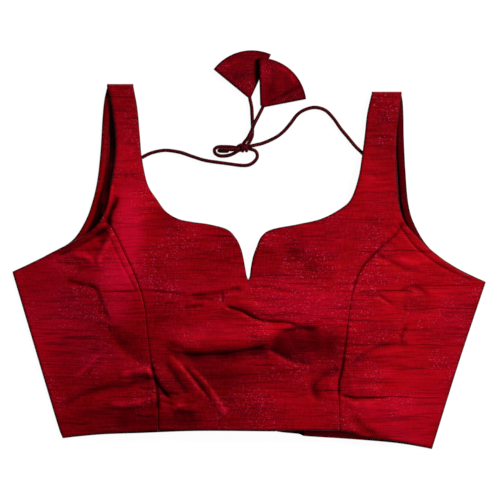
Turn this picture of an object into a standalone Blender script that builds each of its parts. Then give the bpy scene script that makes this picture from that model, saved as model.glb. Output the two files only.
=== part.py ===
"""Sleeveless choli blouse of crimson raw silk, laid flat and face up on a table.

X runs to the right across the laid blouse, Y up towards its straps and Z towards the eye.
The tables are in millimetres, and each mesh is written in metres.
"""

import math
from collections import namedtuple

import bmesh
import bpy
import numpy as np
from mathutils import Vector
from mathutils.geometry import delaunay_2d_cdt

MM = 0.001

# Driving dimensions, in millimetres
CLOTH = 1.2
SEAM_GAP = 0.3
FRONT_PITCH = 9.0
BACK_PITCH = 18.0
SIDE_SEAM_Z = CLOTH * 1.5 + SEAM_GAP
FRONT_AIR = 8.4
AIR_REACH = 52.0
STRAP_Z = 5.4
STRAP_SETTLES = (60, 160)
SHOULDER_RADIUS = (STRAP_Z - CLOTH / 2) / 2
BAND_WIDTH = 7.0
BAND_CLOTH = 1.0
BAND_TOP = 172.0
BAND_SHORT_OF_SIDE = 34.0
OPENING_LEFT = 27.0
OPENING_RIGHT = 55.5
OVERLAP_RAMP = (72, 88)
OVERLAP_ROWS = (-158, -20, 14)
HOOK_STRIP_TOP = -27.0
HOOK_STRIP_FOOT = [(27.15, -164.9), (34.5, -166), (48.5, -167.3), (51.8, -168.2), (55, -169.5), (66, -169.9)]
CORD_DIAMETER = 3.5
CORD_STEP = 6.0
LOOP_STEP = 2.2
LATKAN_WALL = 0.9
LATKAN_DEPTH = 3.4
LATKAN_THROAT = 2.2
LATKAN_RINGS = 7
LATKAN_LAYER_POINTS = 10
LATKAN_FOLD_POINTS = 4

Strap = namedtuple("Strap", "inner outer top")
Fold = namedtuple("Fold", "name height half_width route")
Mound = namedtuple("Mound", "name height x y half_x half_y")
Latkan = namedtuple("Latkan", "name x y first_angle last_angle first_radius last_radius lift")

LEFT_STRAP = Strap(inner=-115.6, outer=-141.7, top=182.5)
RIGHT_STRAP = Strap(inner=122.6, outer=152.3, top=174.8)

# The cut edges as they lie, seen from above: (x, y), each from the top down or from left to right
NECK_LEFT = [(-115.6, 180), (-111.6, 158), (-109, 130), (-106.9, 108), (-101.2, 82), (-92, 67),
             (-83, 55), (-71, 47.6), (-57, 44.4), (-40, 42), (-22, 37), (-13, 28), (-8.5, 19), (-6, 10),
             (-4, -1), (-2.4, -9.5), (-0.9, -13.2)]
NECK_RIGHT = [(122.6, 173), (118, 152), (115.5, 130), (112.5, 108), (109, 88), (102, 68), (92, 58),
              (72, 47.5), (48.5, 42), (23, 37), (12.5, 30), (7.4, 18.8), (4.2, 10), (2, -1), (0.8, -10),
              (-0.9, -13.2)]
ARM_LEFT = [(-141.7, 180), (-137, 161), (-133.4, 131), (-133.3, 112), (-135.6, 94), (-138.4, 78),
            (-141.4, 62), (-145.2, 50)]
ARM_LEFT_LOW = [(-145.2, 50), (-151.8, 41), (-168, 28.5), (-192, 16.5), (-212, 6), (-236.5, -5.3)]
ARM_RIGHT = [(152.3, 173), (149.5, 152), (147.2, 130), (146.6, 100), (148, 72), (150.5, 57),
             (154.5, 45)]
ARM_RIGHT_LOW = [(154.5, 45), (160, 37.6), (166, 31.4), (172.5, 25), (180.3, 17.4), (205.3, -0.8),
                 (236.5, -15.5)]
PRINCESS_LEFT = [(-145.2, 50), (-135.8, 36.6), (-123.8, 12), (-112.6, -12), (-105, -36), (-102, -60),
                 (-99, -88), (-95, -110), (-91, -128), (-90.5, -163.5)]
PRINCESS_RIGHT = [(154.5, 45), (145.6, 31.6), (128.5, 16), (111.4, -3), (102.6, -26), (98.4, -53),
                  (95.6, -80), (91.3, -108), (89.3, -122), (90.5, -163.5)]
SIDE_LEFT = [(-236.5, -5.3), (-194, -148.5), (-186.2, -171.5)]
SIDE_RIGHT = [(236.5, -15.5), (209, -98), (182.8, -182.4)]
HEM_LEFT = [(-186.2, -171.5), (-148, -167), (-108, -165), (-90.5, -163.5)]
HEM_CENTRE = [(-90.5, -163.5), (90.5, -163.5)]
HEM_RIGHT = [(90.5, -163.5), (103, -166), (117, -170.5), (151, -175), (182.8, -182.4)]
BACK_ARM_LEFT = [(-141.7, 180), (-144.8, 166), (-146.7, 146), (-148.5, 116), (-151.5, 88), (-156, 67),
                 (-163.5, 46), (-177, 26), (-201, 12), (-236.5, -5.3)]
BACK_ARM_RIGHT = [(152.3, 173), (153.8, 164), (154.5, 150), (154.9, 128), (156.5, 95), (159.5, 62),
                  (166, 41), (180.5, 18.4), (205.5, 0), (236.5, -15.5)]
BACK_NECK_LEFT = [(-115.6, 180), (-116.8, 150), (-115.5, 116), (-110, 78), (-99, 44), (-82, 14),
                  (-56, -10), (-20, -24), (OPENING_LEFT, -28)]
BACK_NECK_RIGHT = [(122.6, 173), (122.4, 150), (120.5, 116), (115.5, 78), (105, 44), (90, 14),
                   (74, -9), (OPENING_RIGHT, -22)]
BACK_HEM_LEFT = [(-186.2, -171.5), (-148, -168), (-108, -166.5), (-50, -164.5), (OPENING_LEFT, -165)]
BACK_HEM_RIGHT = [(OPENING_RIGHT, -169.5), (111, -173.3), (151, -177), (182.8, -182.4)]

# How the front stands up off the back: its fullness at the bust, then the largest folds of each panel
MOUNDS = [
    Mound("left_cup", 4.6, -90, -40, 56, 46),
    Mound("right_cup", 5.4, 92, -44, 58, 48),
    Mound("under_neckline", 1.6, -10, -20, 50, 34),
]
FOLDS = [
    Fold("under_bust", -4.0, 9, [(-98, -84), (-43, -88), (-8, -84), (14, -77), (37, -64), (50, -58)]),
    Fold("cup_edge", 3.4, 13, [(-78, -66), (-40, -69), (0, -66), (26, -54)]),
    Fold("centre_hollow", -2.6, 18, [(40, -86), (56, -88), (78, -86)]),
    Fold("across_bust", -2.2, 8, [(-24, -37), (2, -49), (27, -54), (52, -59)]),
    Fold("long_ridge", 2.6, 8, [(-78, -89), (-63, -104), (-48, -119), (-24, -144), (-15, -160)]),
    Fold("below_cup", -3.0, 9, [(-86, -116), (-53, -130)]),
    Fold("hem_hollow", -2.4, 12, [(-138, -152), (-50, -152)]),
    Fold("neck_side", -2.0, 12, [(36, 11), (82, -9)]),
    Fold("arm_left_pull", -1.8, 8, [(-131.5, 67), (-137, 38)]),
    Fold("side_left_dimple", -3.0, 9, [(-183, -10), (-163, -21), (-151, -22)]),
    Fold("side_left_crease", -3.8, 9, [(-150, -24), (-146, -39), (-136, -59), (-123, -75), (-106, -96)]),
    Fold("side_left_ridge", 2.4, 8, [(-148, -109), (-101, -96)]),
    Fold("side_left_trough", -2.6, 9, [(-184, -132), (-148, -122), (-112, -117)]),
    Fold("side_left_low_ridge", 2.2, 8, [(-139, -135), (-94, -129)]),
    Fold("right_pinch", -2.8, 8, [(61, -113), (91, -102), (121, -87), (151, -79)]),
    Fold("right_pinch_foot", -2.2, 8, [(60, -115), (65, -130), (72, -137)]),
    Fold("side_right_dimple", -2.8, 9, [(155, -20), (178, -31)]),
    Fold("side_right_upright", -2.2, 8, [(151, -36), (153, -54), (149, -70)]),
    Fold("side_right_ridge", 2.2, 10, [(95, -119), (152, -130)]),
    Fold("side_right_low", -2.0, 9, [(104, -140), (150, -160)]),
]

# Cord routes: (x, y, z of the cord's middle)
DORI_LEFT = [(-113.2, 104.9, 1.9), (-107, 109, 1.9), (-98.5, 113.2, 1.9), (-88.5, 115.7, 1.9),
             (-80.5, 116, 1.9), (-68.5, 114, 1.9), (-56, 109.8, 1.9), (-43.5, 106, 1.9),
             (-25, 103.3, 1.9), (-6, 101, 1.9), (2, 102.5, 1.9), (7.2, 107.2, 1.9),
             (8.3, 111.6, 1.9), (6.2, 115.6, 1.9), (1.5, 117.3, 2.1)]
DORI_RIGHT = [(118.1, 106.4, 1.9), (113.5, 113, 1.9), (106.5, 120, 1.9), (99, 129, 1.9),
              (91.5, 138, 1.9), (84.5, 148, 1.9), (76.5, 156, 1.9), (66.5, 159, 1.9),
              (56.5, 157, 1.9), (48.5, 152, 1.9), (41.5, 143, 1.9), (34.5, 135, 1.9),
              (26.5, 129, 1.9), (14.3, 123.4, 2.8), (7.4, 121.6, 4.1), (1.5, 120.2, 5)]
TAIL_LEFT = [(0.8, 168.2, 2.3), (2.5, 160, 1.9), (3.1, 152, 1.9), (3.3, 144, 1.9),
             (3.5, 136, 1.9), (2.9, 129.6, 1.9), (-0.9, 122.3, 2.1)]
TAIL_RIGHT = [(13.2, 158.2, 2.3), (9.2, 150.1, 4), (5.3, 142.6, 5.8), (2.3, 135.1, 5.8),
              (-1.5, 127.9, 5.2), (-4.6, 124, 4.9)]
BOW_LOOP = [(-13.7, 118.9, 3.2), (-18, 119.5, 2.4), (-24, 119.8, 1.9), (-30.8, 119.6, 1.9),
            (-34.4, 117.2, 1.9), (-33.9, 113.4, 1.9), (-30.2, 110.9, 1.9), (-25, 110.4, 1.9),
            (-19.5, 111.3, 1.9), (-15.2, 113.1, 1.9), (-12.8, 114.6, 2.1)]
BOW_TUCK = [(-13.2, 115.7, 5.9), (-18.5, 115.3, 5.9), (-24.5, 115.2, 5.8), (-27.6, 115.1, 5),
            (-28.5, 115.1, 3.9), (-27.6, 115.1, 2.7), (-24.5, 115.2, 1.9), (-20, 115.3, 1.9)]
KNOT_PLACE = (-6, 118.4, 3.7)
KNOT_HALF = (7.2, 4.5, 3.6)

# Latkans, the cloth tassels: a cone of cloth pressed flat, fanning out from where the cord enters it
LATKANS = [
    Latkan("latkan_left", 1.0, 167.5, 65.2, 140.6, 49.2, 46.8, 0.0),
    Latkan("latkan_right", 11.6, 158.8, 11.0, 91.8, 46.3, 49.6, 4.9),
]
LATKAN_LIFT_RADII = (6, 27)
LATKAN_LIFT_ANGLES = (20, 60)

# Colours as they look on the cloth, in display values from 0 to 255
CRIMSON = (140, 6, 24)
CRIMSON_BRIGHT = (156, 8, 30)
LINING = (92, 5, 11)
BAND = (112, 5, 12)
HOOK_STRIP = (34, 4, 7)
DORI = (70, 6, 14)
LATKAN_CLOTH = (112, 4, 16)


def clear_scene():
    for obj in list(bpy.data.objects):
        bpy.data.objects.remove(obj, do_unlink=True)


def linear(display):
    """A display colour as the linear values that shaders take."""
    values = [channel / 255 for channel in display]
    return [v / 12.92 if v <= 0.04045 else ((v + 0.055) / 1.055) ** 2.4 for v in values] + [1.0]


def make_material(name, display, roughness):
    material = bpy.data.materials.new(name)
    material.use_nodes = True
    shader = material.node_tree.nodes["Principled BSDF"]
    shader.inputs["Base Color"].default_value = linear(display)
    shader.inputs["Roughness"].default_value = roughness
    shader.inputs["Metallic"].default_value = 0.0
    return material


def add_object(name, data, material):
    obj = bpy.data.objects.new(name, data)
    garment.objects.link(obj)
    data.materials.append(material)
    return obj


def smooth_step(limits, value):
    t = np.clip((np.asarray(value, float) - limits[0]) / (limits[1] - limits[0]), 0, 1)
    return t * t * (3 - 2 * t)


def smooth_curve(points, step):
    """Points about one step apart along a Catmull-Rom curve through the given ones."""
    given = np.array(points, float)
    ends = np.vstack([2 * given[0] - given[1], given, 2 * given[-1] - given[-2]])
    fine = [given[0]]
    for a, b, c, d in zip(ends, ends[1:], ends[2:], ends[3:]):
        for t in np.linspace(0, 1, 13)[1:]:
            bend = (2 * a - 5 * b + 4 * c - d) * t**2 + (3 * b - a - 3 * c + d) * t**3
            fine.append(0.5 * (2 * b + (c - a) * t + bend))
    fine = np.array(fine)
    travelled = np.concatenate([[0], np.cumsum(np.linalg.norm(np.diff(fine, axis=0), axis=1))])
    places = np.linspace(0, travelled[-1], max(2, round(travelled[-1] / step) + 1))
    return np.column_stack([np.interp(places, travelled, fine[:, axis]) for axis in range(fine.shape[1])])


def shifted(curve, distance):
    """The curve moved sideways, to the left of its direction."""
    along = np.gradient(curve, axis=0)
    along /= np.linalg.norm(along, axis=1)[:, None]
    return curve + distance * np.column_stack([-along[:, 1], along[:, 0]])


def distance_to_route(x, y, route):
    nearest = np.full(np.shape(x), np.inf)
    for (x0, y0), (x1, y1) in zip(route, route[1:]):
        dx, dy = x1 - x0, y1 - y0
        t = np.clip(((x - x0) * dx + (y - y0) * dy) / (dx * dx + dy * dy), 0, 1)
        nearest = np.minimum(nearest, np.hypot(x - x0 - t * dx, y - y0 - t * dy))
    return nearest


def side_air(x, y):
    """0 at the side seams, where front meets back, rising to 1 where the front stands clear of it."""
    nearest = np.minimum(distance_to_route(x, y, SIDE_LEFT), distance_to_route(x, y, SIDE_RIGHT))
    return 1 - np.exp(-((nearest / AIR_REACH) ** 2))


def front_height(x, y):
    """The middle of the front's cloth above the table."""
    air = side_air(x, y)
    relief = FRONT_AIR
    for mound in MOUNDS:
        away = ((x - mound.x) / mound.half_x) ** 2 + ((y - mound.y) / mound.half_y) ** 2
        relief = relief + mound.height * np.exp(-away)
    for fold in FOLDS:
        away = distance_to_route(x, y, fold.route) / fold.half_width
        relief = relief + fold.height * np.exp(-(away**2))
    height = SIDE_SEAM_Z + relief * air
    on_strap = smooth_step(STRAP_SETTLES, y)
    return height * (1 - on_strap) + STRAP_Z * on_strap


def back_height(x, y):
    """The middle of the back's cloth: flat on the table, but its right edge lies over the hook strip."""
    over_strip = np.where(x > OPENING_LEFT + 1, 1 - smooth_step(OVERLAP_RAMP, x), 0)
    return CLOTH / 2 + (CLOTH + SEAM_GAP) * over_strip


def band_height(x, y):
    return np.full(np.shape(x), CLOTH + SEAM_GAP + BAND_CLOTH / 2)


def strip_height(x, y):
    """The hook strip lies flat on the table."""
    return np.full(np.shape(x), CLOTH / 2)


def inside_outline(points, outline):
    x, y = points[:, 0], points[:, 1]
    inside = np.zeros(len(points), bool)
    for (x0, y0), (x1, y1) in zip(outline, np.roll(outline, -1, axis=0)):
        if y0 != y1:
            inside ^= ((y0 > y) != (y1 > y)) & (x < x0 + (y - y0) * (x1 - x0) / (y1 - y0))
    return inside


def grid_inside(outline, pitch):
    """A triangular grid of points inside the outline, clear of its edge and of the shoulders."""
    low, high = outline.min(axis=0), outline.max(axis=0)
    grid = []
    for number, y in enumerate(np.arange(low[1] + pitch / 2, high[1], pitch * math.sqrt(3) / 2)):
        start = low[0] + pitch * (0.5 if number % 2 else 1.0)
        grid += [(x, y) for x in np.arange(start, high[0], pitch)]
    grid = np.array(grid)
    closed = np.vstack([outline, outline[:1]])
    clear = distance_to_route(grid[:, 0], grid[:, 1], closed) > 0.6 * pitch
    top = np.where(grid[:, 0] < 0, fold_line(LEFT_STRAP), fold_line(RIGHT_STRAP))
    return grid[inside_outline(grid, outline) & clear & (grid[:, 1] < top - pitch / 3)]


def fold_line(strap):
    """Where the strap starts to turn over its shoulder."""
    return strap.top - SHOULDER_RADIUS - CLOTH / 2


def below_fold(curve, strap):
    return curve[curve[:, 1] < fold_line(strap) - FRONT_PITCH / 3]


def shoulder_rows(strap, first, last):
    """Rows of points across the strap's cut, from the fold to the shoulder seam, each from first to last."""
    arc = SHOULDER_RADIUS * math.pi / 2 - SEAM_GAP
    across = np.linspace(first, last, 5)
    return [[(x, fold_line(strap) + arc * part) for x in across] for part in (0, 1 / 3, 2 / 3, 1)]


def strap_edge(strap, first, last):
    """The cut edge round the strap's end: up one side, across the shoulder seam and down the other."""
    rows = shoulder_rows(strap, first, last)
    return np.array([row[0] for row in rows[:-1]] + rows[-1] + [row[-1] for row in rows[-2::-1]])


def strap_inside(strap):
    rows = shoulder_rows(strap, strap.inner, strap.outer)
    return [point for row in rows[:-1] for point in row[1:-1]]


def turn_over_shoulder(points, strap, way):
    """Bends the cut past the fold round a quarter turn: down from the front (-1), up from the back (+1)."""
    past = (np.sign(points[:, 0]) == np.sign(strap.inner)) & (points[:, 1] > fold_line(strap))
    angle = (points[past, 1] - fold_line(strap)) / SHOULDER_RADIUS
    points[past, 1] = fold_line(strap) + SHOULDER_RADIUS * np.sin(angle)
    points[past, 2] += way * SHOULDER_RADIUS * (1 - np.cos(angle))


def sew_panel(name, outline, inner, height, material, thickness=CLOTH, shoulder_way=0):
    """A panel from its flat cut: the cut in triangles, raised to its height, then given its thickness."""
    cut = np.vstack([outline, inner]) if len(inner) else outline
    edges = [(i, (i + 1) % len(outline)) for i in range(len(outline))]
    flat, _, faces, _, _, _ = delaunay_2d_cdt([Vector(point) for point in cut], edges, [], 1, 1e-5)
    flat = np.array([tuple(point) for point in flat])
    points = np.column_stack([flat, height(flat[:, 0], flat[:, 1])])
    if shoulder_way:
        turn_over_shoulder(points, LEFT_STRAP, shoulder_way)
        turn_over_shoulder(points, RIGHT_STRAP, shoulder_way)
    mesh = bpy.data.meshes.new(name)
    mesh.from_pydata((points * MM).tolist(), [], faces)
    mesh.shade_smooth()
    panel = add_object(name, mesh, material)
    wall = panel.modifiers.new("cloth", "SOLIDIFY")
    wall.thickness = thickness * MM
    wall.offset = 0
    return panel


def edge(points):
    return smooth_curve(points, FRONT_PITCH)


def back_to_front(points):
    return edge(points)[::-1]


def build_front_centre(material):
    """The front's middle, cut in one with both straps and with the notched neck."""
    outline = np.vstack([
        below_fold(edge(NECK_LEFT), LEFT_STRAP)[:-1],
        below_fold(back_to_front(NECK_RIGHT), RIGHT_STRAP),
        strap_edge(RIGHT_STRAP, RIGHT_STRAP.inner, RIGHT_STRAP.outer),
        below_fold(edge(ARM_RIGHT), RIGHT_STRAP)[:-1],
        shifted(edge(PRINCESS_RIGHT), -SEAM_GAP / 2),
        back_to_front(HEM_CENTRE)[1:-1],
        shifted(edge(PRINCESS_LEFT), SEAM_GAP / 2)[::-1],
        below_fold(back_to_front(ARM_LEFT), LEFT_STRAP)[1:],
        strap_edge(LEFT_STRAP, LEFT_STRAP.outer, LEFT_STRAP.inner),
    ])
    straps_inside = [strap_inside(LEFT_STRAP), strap_inside(RIGHT_STRAP)]
    inner = np.vstack([grid_inside(outline, FRONT_PITCH), *straps_inside])
    return sew_panel("front_centre", outline, inner, front_height, material, shoulder_way=-1)


def build_front_sides(left_material, right_material):
    """The two side panels, from the princess seams to the side seams."""
    left = np.vstack([
        edge(ARM_LEFT_LOW)[1:-1],
        edge(SIDE_LEFT),
        edge(HEM_LEFT)[1:-1],
        shifted(edge(PRINCESS_LEFT), -SEAM_GAP / 2)[::-1],
    ])
    right = np.vstack([
        edge(ARM_RIGHT_LOW)[1:-1],
        edge(SIDE_RIGHT),
        back_to_front(HEM_RIGHT)[1:-1],
        shifted(edge(PRINCESS_RIGHT), SEAM_GAP / 2)[::-1],
    ])
    sew_panel("front_side_left", left, grid_inside(left, FRONT_PITCH), front_height, left_material)
    sew_panel("front_side_right", right, grid_inside(right, FRONT_PITCH), front_height, right_material)


def build_back(material):
    """The two backs, open down the centre, with the deep round neck."""
    left_edge = OPENING_LEFT - SEAM_GAP / 2
    left = np.vstack([
        below_fold(edge(BACK_ARM_LEFT), LEFT_STRAP)[:-1],
        edge(SIDE_LEFT),
        edge(BACK_HEM_LEFT)[1:-1],
        [(left_edge, BACK_HEM_LEFT[-1][1]), (left_edge, BACK_NECK_LEFT[-1][1])],
        below_fold(back_to_front(BACK_NECK_LEFT), LEFT_STRAP)[1:],
        strap_edge(LEFT_STRAP, LEFT_STRAP.inner, LEFT_STRAP.outer),
    ])
    right = np.vstack([
        below_fold(edge(BACK_ARM_RIGHT), RIGHT_STRAP)[:-1],
        edge(SIDE_RIGHT),
        back_to_front(BACK_HEM_RIGHT)[1:],
        below_fold(back_to_front(BACK_NECK_RIGHT), RIGHT_STRAP),
        strap_edge(RIGHT_STRAP, RIGHT_STRAP.inner, RIGHT_STRAP.outer),
    ])
    inner = np.vstack([grid_inside(left, BACK_PITCH), strap_inside(LEFT_STRAP)])
    sew_panel("back_left", left, inner, back_height, material, shoulder_way=1)
    grid = grid_inside(right, BACK_PITCH)
    ramp = [(x, y) for x in np.linspace(*OVERLAP_RAMP, 4) for y in np.arange(*OVERLAP_ROWS)]
    inner = np.vstack([grid[grid[:, 0] > OVERLAP_RAMP[1] + BACK_PITCH / 3], ramp, strap_inside(RIGHT_STRAP)])
    sew_panel("back_right", right, inner, back_height, material, shoulder_way=1)


def build_hook_strip(material):
    """The strip along the left back's opening edge, under the right back, which the hooks fasten to."""
    foot = edge(HOOK_STRIP_FOOT)
    top = [(foot[-1][0], HOOK_STRIP_TOP), (foot[0][0], HOOK_STRIP_TOP)]
    sew_panel("hook_strip", np.vstack([foot, top]), [], strip_height, material)


def build_armhole_bands(material):
    """The facing turned in along each back armhole, lying on the inside of the back."""
    gap, inner = SEAM_GAP, SEAM_GAP + BAND_WIDTH
    bands = [("armhole_band_left", BACK_ARM_LEFT, 1), ("armhole_band_right", BACK_ARM_RIGHT, -1)]
    for name, armhole, side in bands:
        along = edge(armhole)
        from_side = np.linalg.norm(along - along[-1], axis=1)
        along = along[(along[:, 1] < BAND_TOP) & (from_side > BAND_SHORT_OF_SIDE)]
        outline = np.vstack([shifted(along, side * gap), shifted(along, side * inner)[::-1]])
        sew_panel(name, outline, [], band_height, material, thickness=BAND_CLOTH)


def build_cord(name, route, material, step):
    """A round cord along a smooth curve through the route's points, with closed ends."""
    curve = bpy.data.curves.new(name, "CURVE")
    curve.dimensions = "3D"
    curve.bevel_depth = CORD_DIAMETER / 2 * MM
    curve.bevel_resolution = 2
    curve.use_fill_caps = True
    points = smooth_curve(route, step)
    spline = curve.splines.new("POLY")
    spline.points.add(len(points) - 1)
    for place, point in zip(spline.points, points):
        place.co = (*(point * MM), 1)
    return add_object(name, curve, material)


def build_knot(material):
    """The bow's knot: the cords wound over each other into one lump."""
    bpy.ops.mesh.primitive_uv_sphere_add(segments=20, ring_count=12, radius=1)
    knot = bpy.context.object
    knot.name = "dori_knot"
    knot.location = [value * MM for value in KNOT_PLACE]
    knot.scale = [value * MM for value in KNOT_HALF]
    knot.users_collection[0].objects.unlink(knot)
    garment.objects.link(knot)
    knot.data.shade_smooth()
    knot.data.materials.append(material)


def latkan_ring(latkan, part):
    """One ring round the flattened cone, at a part of the way from its throat to its rim.

    It goes over the upper layer, round a side fold, back under, and round the other side fold.
    """
    first, last = math.radians(latkan.first_angle), math.radians(latkan.last_angle)
    middle_radius = LATKAN_THROAT + part * ((latkan.first_radius + latkan.last_radius) / 2 - LATKAN_THROAT)
    half_depth = min(LATKAN_DEPTH, 0.9 * middle_radius * (last - first)) / 2
    inset = half_depth / middle_radius
    layer = np.linspace(first + inset, last - inset, LATKAN_LAYER_POINTS)
    turn = np.linspace(0, math.pi, LATKAN_FOLD_POINTS + 1)[1:-1]
    angles = np.concatenate([
        layer,
        last - inset + inset * np.sin(turn),
        layer[::-1],
        first + inset - inset * np.sin(turn),
    ])
    heights = np.concatenate([
        np.full(len(layer), half_depth),
        half_depth * np.cos(turn),
        np.full(len(layer), -half_depth),
        -half_depth * np.cos(turn),
    ])
    rim = latkan.first_radius + (latkan.last_radius - latkan.first_radius) * (angles - first) / (last - first)
    radius = LATKAN_THROAT + part * (rim - LATKAN_THROAT)
    lift = latkan.lift * smooth_step(LATKAN_LIFT_RADII, radius)
    lift = lift * smooth_step(LATKAN_LIFT_ANGLES, np.degrees(angles))
    middle = (LATKAN_DEPTH + LATKAN_WALL) / 2 + SEAM_GAP / 2
    return np.column_stack([
        latkan.x + radius * np.cos(angles),
        latkan.y + radius * np.sin(angles),
        middle + lift + heights,
    ])


def build_latkan(latkan, material):
    """A cone of cloth pressed flat, closed at the cord's end and open at the wide one."""
    shape = bmesh.new()
    rings = []
    for part in np.linspace(0, 1, LATKAN_RINGS):
        rings.append([shape.verts.new(point * MM) for point in latkan_ring(latkan, part)])
    for near, far in zip(rings, rings[1:]):
        for k in range(len(near)):
            after = (k + 1) % len(near)
            shape.faces.new((near[k], far[k], far[after], near[after]))
    shape.faces.new(rings[0])
    bmesh.ops.recalc_face_normals(shape, faces=shape.faces)
    mesh = bpy.data.meshes.new(latkan.name)
    shape.to_mesh(mesh)
    shape.free()
    mesh.shade_smooth()
    wall = add_object(latkan.name, mesh, material).modifiers.new("cloth", "SOLIDIFY")
    wall.thickness = LATKAN_WALL * MM
    wall.offset = 0


clear_scene()
garment = bpy.data.collections.new("choli_blouse")
bpy.context.scene.collection.children.link(garment)

silk = make_material("crimson_silk", CRIMSON, 0.55)
silk_bright = make_material("crimson_silk_bright", CRIMSON_BRIGHT, 0.55)
build_front_centre(silk)
build_front_sides(make_material("crimson_silk_left", CRIMSON, 0.55), silk_bright)
build_back(make_material("back_lining", LINING, 0.7))
build_hook_strip(make_material("hook_strip_cloth", HOOK_STRIP, 0.8))
build_armhole_bands(make_material("armhole_band_cloth", BAND, 0.6))

dori = make_material("dori_cord", DORI, 0.6)
build_cord("dori_left", DORI_LEFT, dori, CORD_STEP)
build_cord("dori_right", DORI_RIGHT, dori, CORD_STEP)
build_cord("dori_tail_left", TAIL_LEFT, dori, CORD_STEP)
build_cord("dori_tail_right", TAIL_RIGHT, dori, CORD_STEP)
build_cord("bow_loop", BOW_LOOP, dori, LOOP_STEP)
build_cord("bow_tuck", BOW_TUCK, dori, LOOP_STEP)
build_knot(dori)

latkan_cloth = make_material("latkan_cloth", LATKAN_CLOTH, 0.6)
for row in LATKANS:
    build_latkan(row, latkan_cloth)
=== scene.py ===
import math
from collections import namedtuple

import bmesh
import bpy
import numpy as np
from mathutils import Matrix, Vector, noise
from mathutils.geometry import delaunay_2d_cdt


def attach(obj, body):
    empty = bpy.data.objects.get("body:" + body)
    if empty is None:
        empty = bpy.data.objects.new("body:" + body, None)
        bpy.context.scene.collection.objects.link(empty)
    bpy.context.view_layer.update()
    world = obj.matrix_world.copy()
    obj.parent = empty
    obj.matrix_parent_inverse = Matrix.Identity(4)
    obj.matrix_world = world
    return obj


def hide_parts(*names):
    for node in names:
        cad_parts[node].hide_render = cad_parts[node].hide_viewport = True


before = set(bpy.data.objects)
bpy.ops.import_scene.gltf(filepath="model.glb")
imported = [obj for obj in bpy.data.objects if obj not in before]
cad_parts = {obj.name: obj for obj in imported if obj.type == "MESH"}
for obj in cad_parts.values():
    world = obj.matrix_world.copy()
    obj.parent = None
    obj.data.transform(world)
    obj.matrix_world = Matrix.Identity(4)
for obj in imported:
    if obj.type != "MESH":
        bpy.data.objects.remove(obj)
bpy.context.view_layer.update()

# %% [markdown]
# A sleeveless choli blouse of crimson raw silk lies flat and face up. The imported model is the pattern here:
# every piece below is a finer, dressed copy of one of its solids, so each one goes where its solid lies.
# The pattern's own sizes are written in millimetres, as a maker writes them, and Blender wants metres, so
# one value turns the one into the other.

MM = 0.001

# %% [markdown]
# The camera looks straight down, as it does in a catalogue picture of a garment laid on a table. A lens
# that stands far back keeps the folds from leaning outwards. Its focal length follows from the distance and
# from the width of cloth that the picture takes in, so only those two have to be chosen.

# %% The camera
VIEW_WIDTH = 0.499
VIEW_CENTRE = (0.001, 0.0165)
CAMERA_HEIGHT = 2.4
CLOTH_LEVEL = 0.006

lens = bpy.data.cameras.new("catalogue_lens")
lens.sensor_width = 36
lens.lens = lens.sensor_width * (CAMERA_HEIGHT - CLOTH_LEVEL) / VIEW_WIDTH
lens.clip_end = 20
camera = bpy.data.objects.new("catalogue_camera", lens)
camera.location = (*VIEW_CENTRE, CAMERA_HEIGHT)
bpy.context.scene.collection.objects.link(camera)
bpy.context.scene.camera = camera
print("lens in mm:", round(lens.lens, 1))

# %% [markdown]
# Crimson raw silk looks right only in its own colours, so the picture is shown without the film-like curve
# that Blender puts over bright scenes by default.

# %% The view
bpy.context.scene.view_settings.view_transform = "Standard"
bpy.context.scene.view_settings.look = "None"

# %% [markdown]
# Smooth lines come first, because cords and cut edges both need them. A few points are given, and a
# Catmull-Rom curve passes through every one of them with no corners. It is then read off again at even
# steps.


# %% Smooth lines through a few points
def distances_along(path):
    return np.concatenate([[0], np.cumsum(np.linalg.norm(np.diff(path, axis=0), axis=1))])


def smooth_curve(points, step):
    """Points about one step apart along a smooth curve through the given ones."""
    given = np.array(points, float)
    ends = np.vstack([2 * given[0] - given[1], given, 2 * given[-1] - given[-2]])
    fine = [given[0]]
    for a, b, c, d in zip(ends, ends[1:], ends[2:], ends[3:]):
        for t in np.linspace(0, 1, 13)[1:]:
            bend = (2 * a - 5 * b + 4 * c - d) * t**2 + (3 * b - a - 3 * c + d) * t**3
            fine.append(0.5 * (2 * b + (c - a) * t + bend))
    fine = np.array(fine)
    travelled = distances_along(fine)
    places = np.linspace(0, travelled[-1], max(2, round(travelled[-1] / step) + 1))
    return np.column_stack([np.interp(places, travelled, fine[:, axis]) for axis in range(fine.shape[1])])


def length_of(path):
    return float(np.linalg.norm(np.diff(path, axis=0), axis=1).sum())


def smooth_step(limits, value):
    """0 below the first limit and 1 past the second, with a smooth rise between them."""
    t = np.clip((np.asarray(value, float) - limits[0]) / (limits[1] - limits[0]), 0, 1)
    return t * t * (3 - 2 * t)


def fade_out(away, width):
    """1 on a line, falling smoothly to almost nothing two widths away from it."""
    return np.exp(-((away / width) ** 2))


# %% [markdown]
# Every finish is a small graph of shader nodes, so a few short helpers save much typing. `Graph` adds a
# node, links it, and gives back the socket that comes out of it. Its noises are stretched by three scales,
# one for each axis: a small scale along the weft and a large one across it give long thin streaks. `Finish`
# is the graph of a new material. What is the same all over the surface is set on the shader itself.


# %% A helper for shader graphs
def linear(red, green, blue):
    """A colour as it looks on a screen, 0 to 255, as the linear values that shaders take."""
    values = [channel / 255 for channel in (red, green, blue)]
    return [v / 12.92 if v <= 0.04045 else ((v + 0.055) / 1.055) ** 2.4 for v in values] + [1.0]


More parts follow.
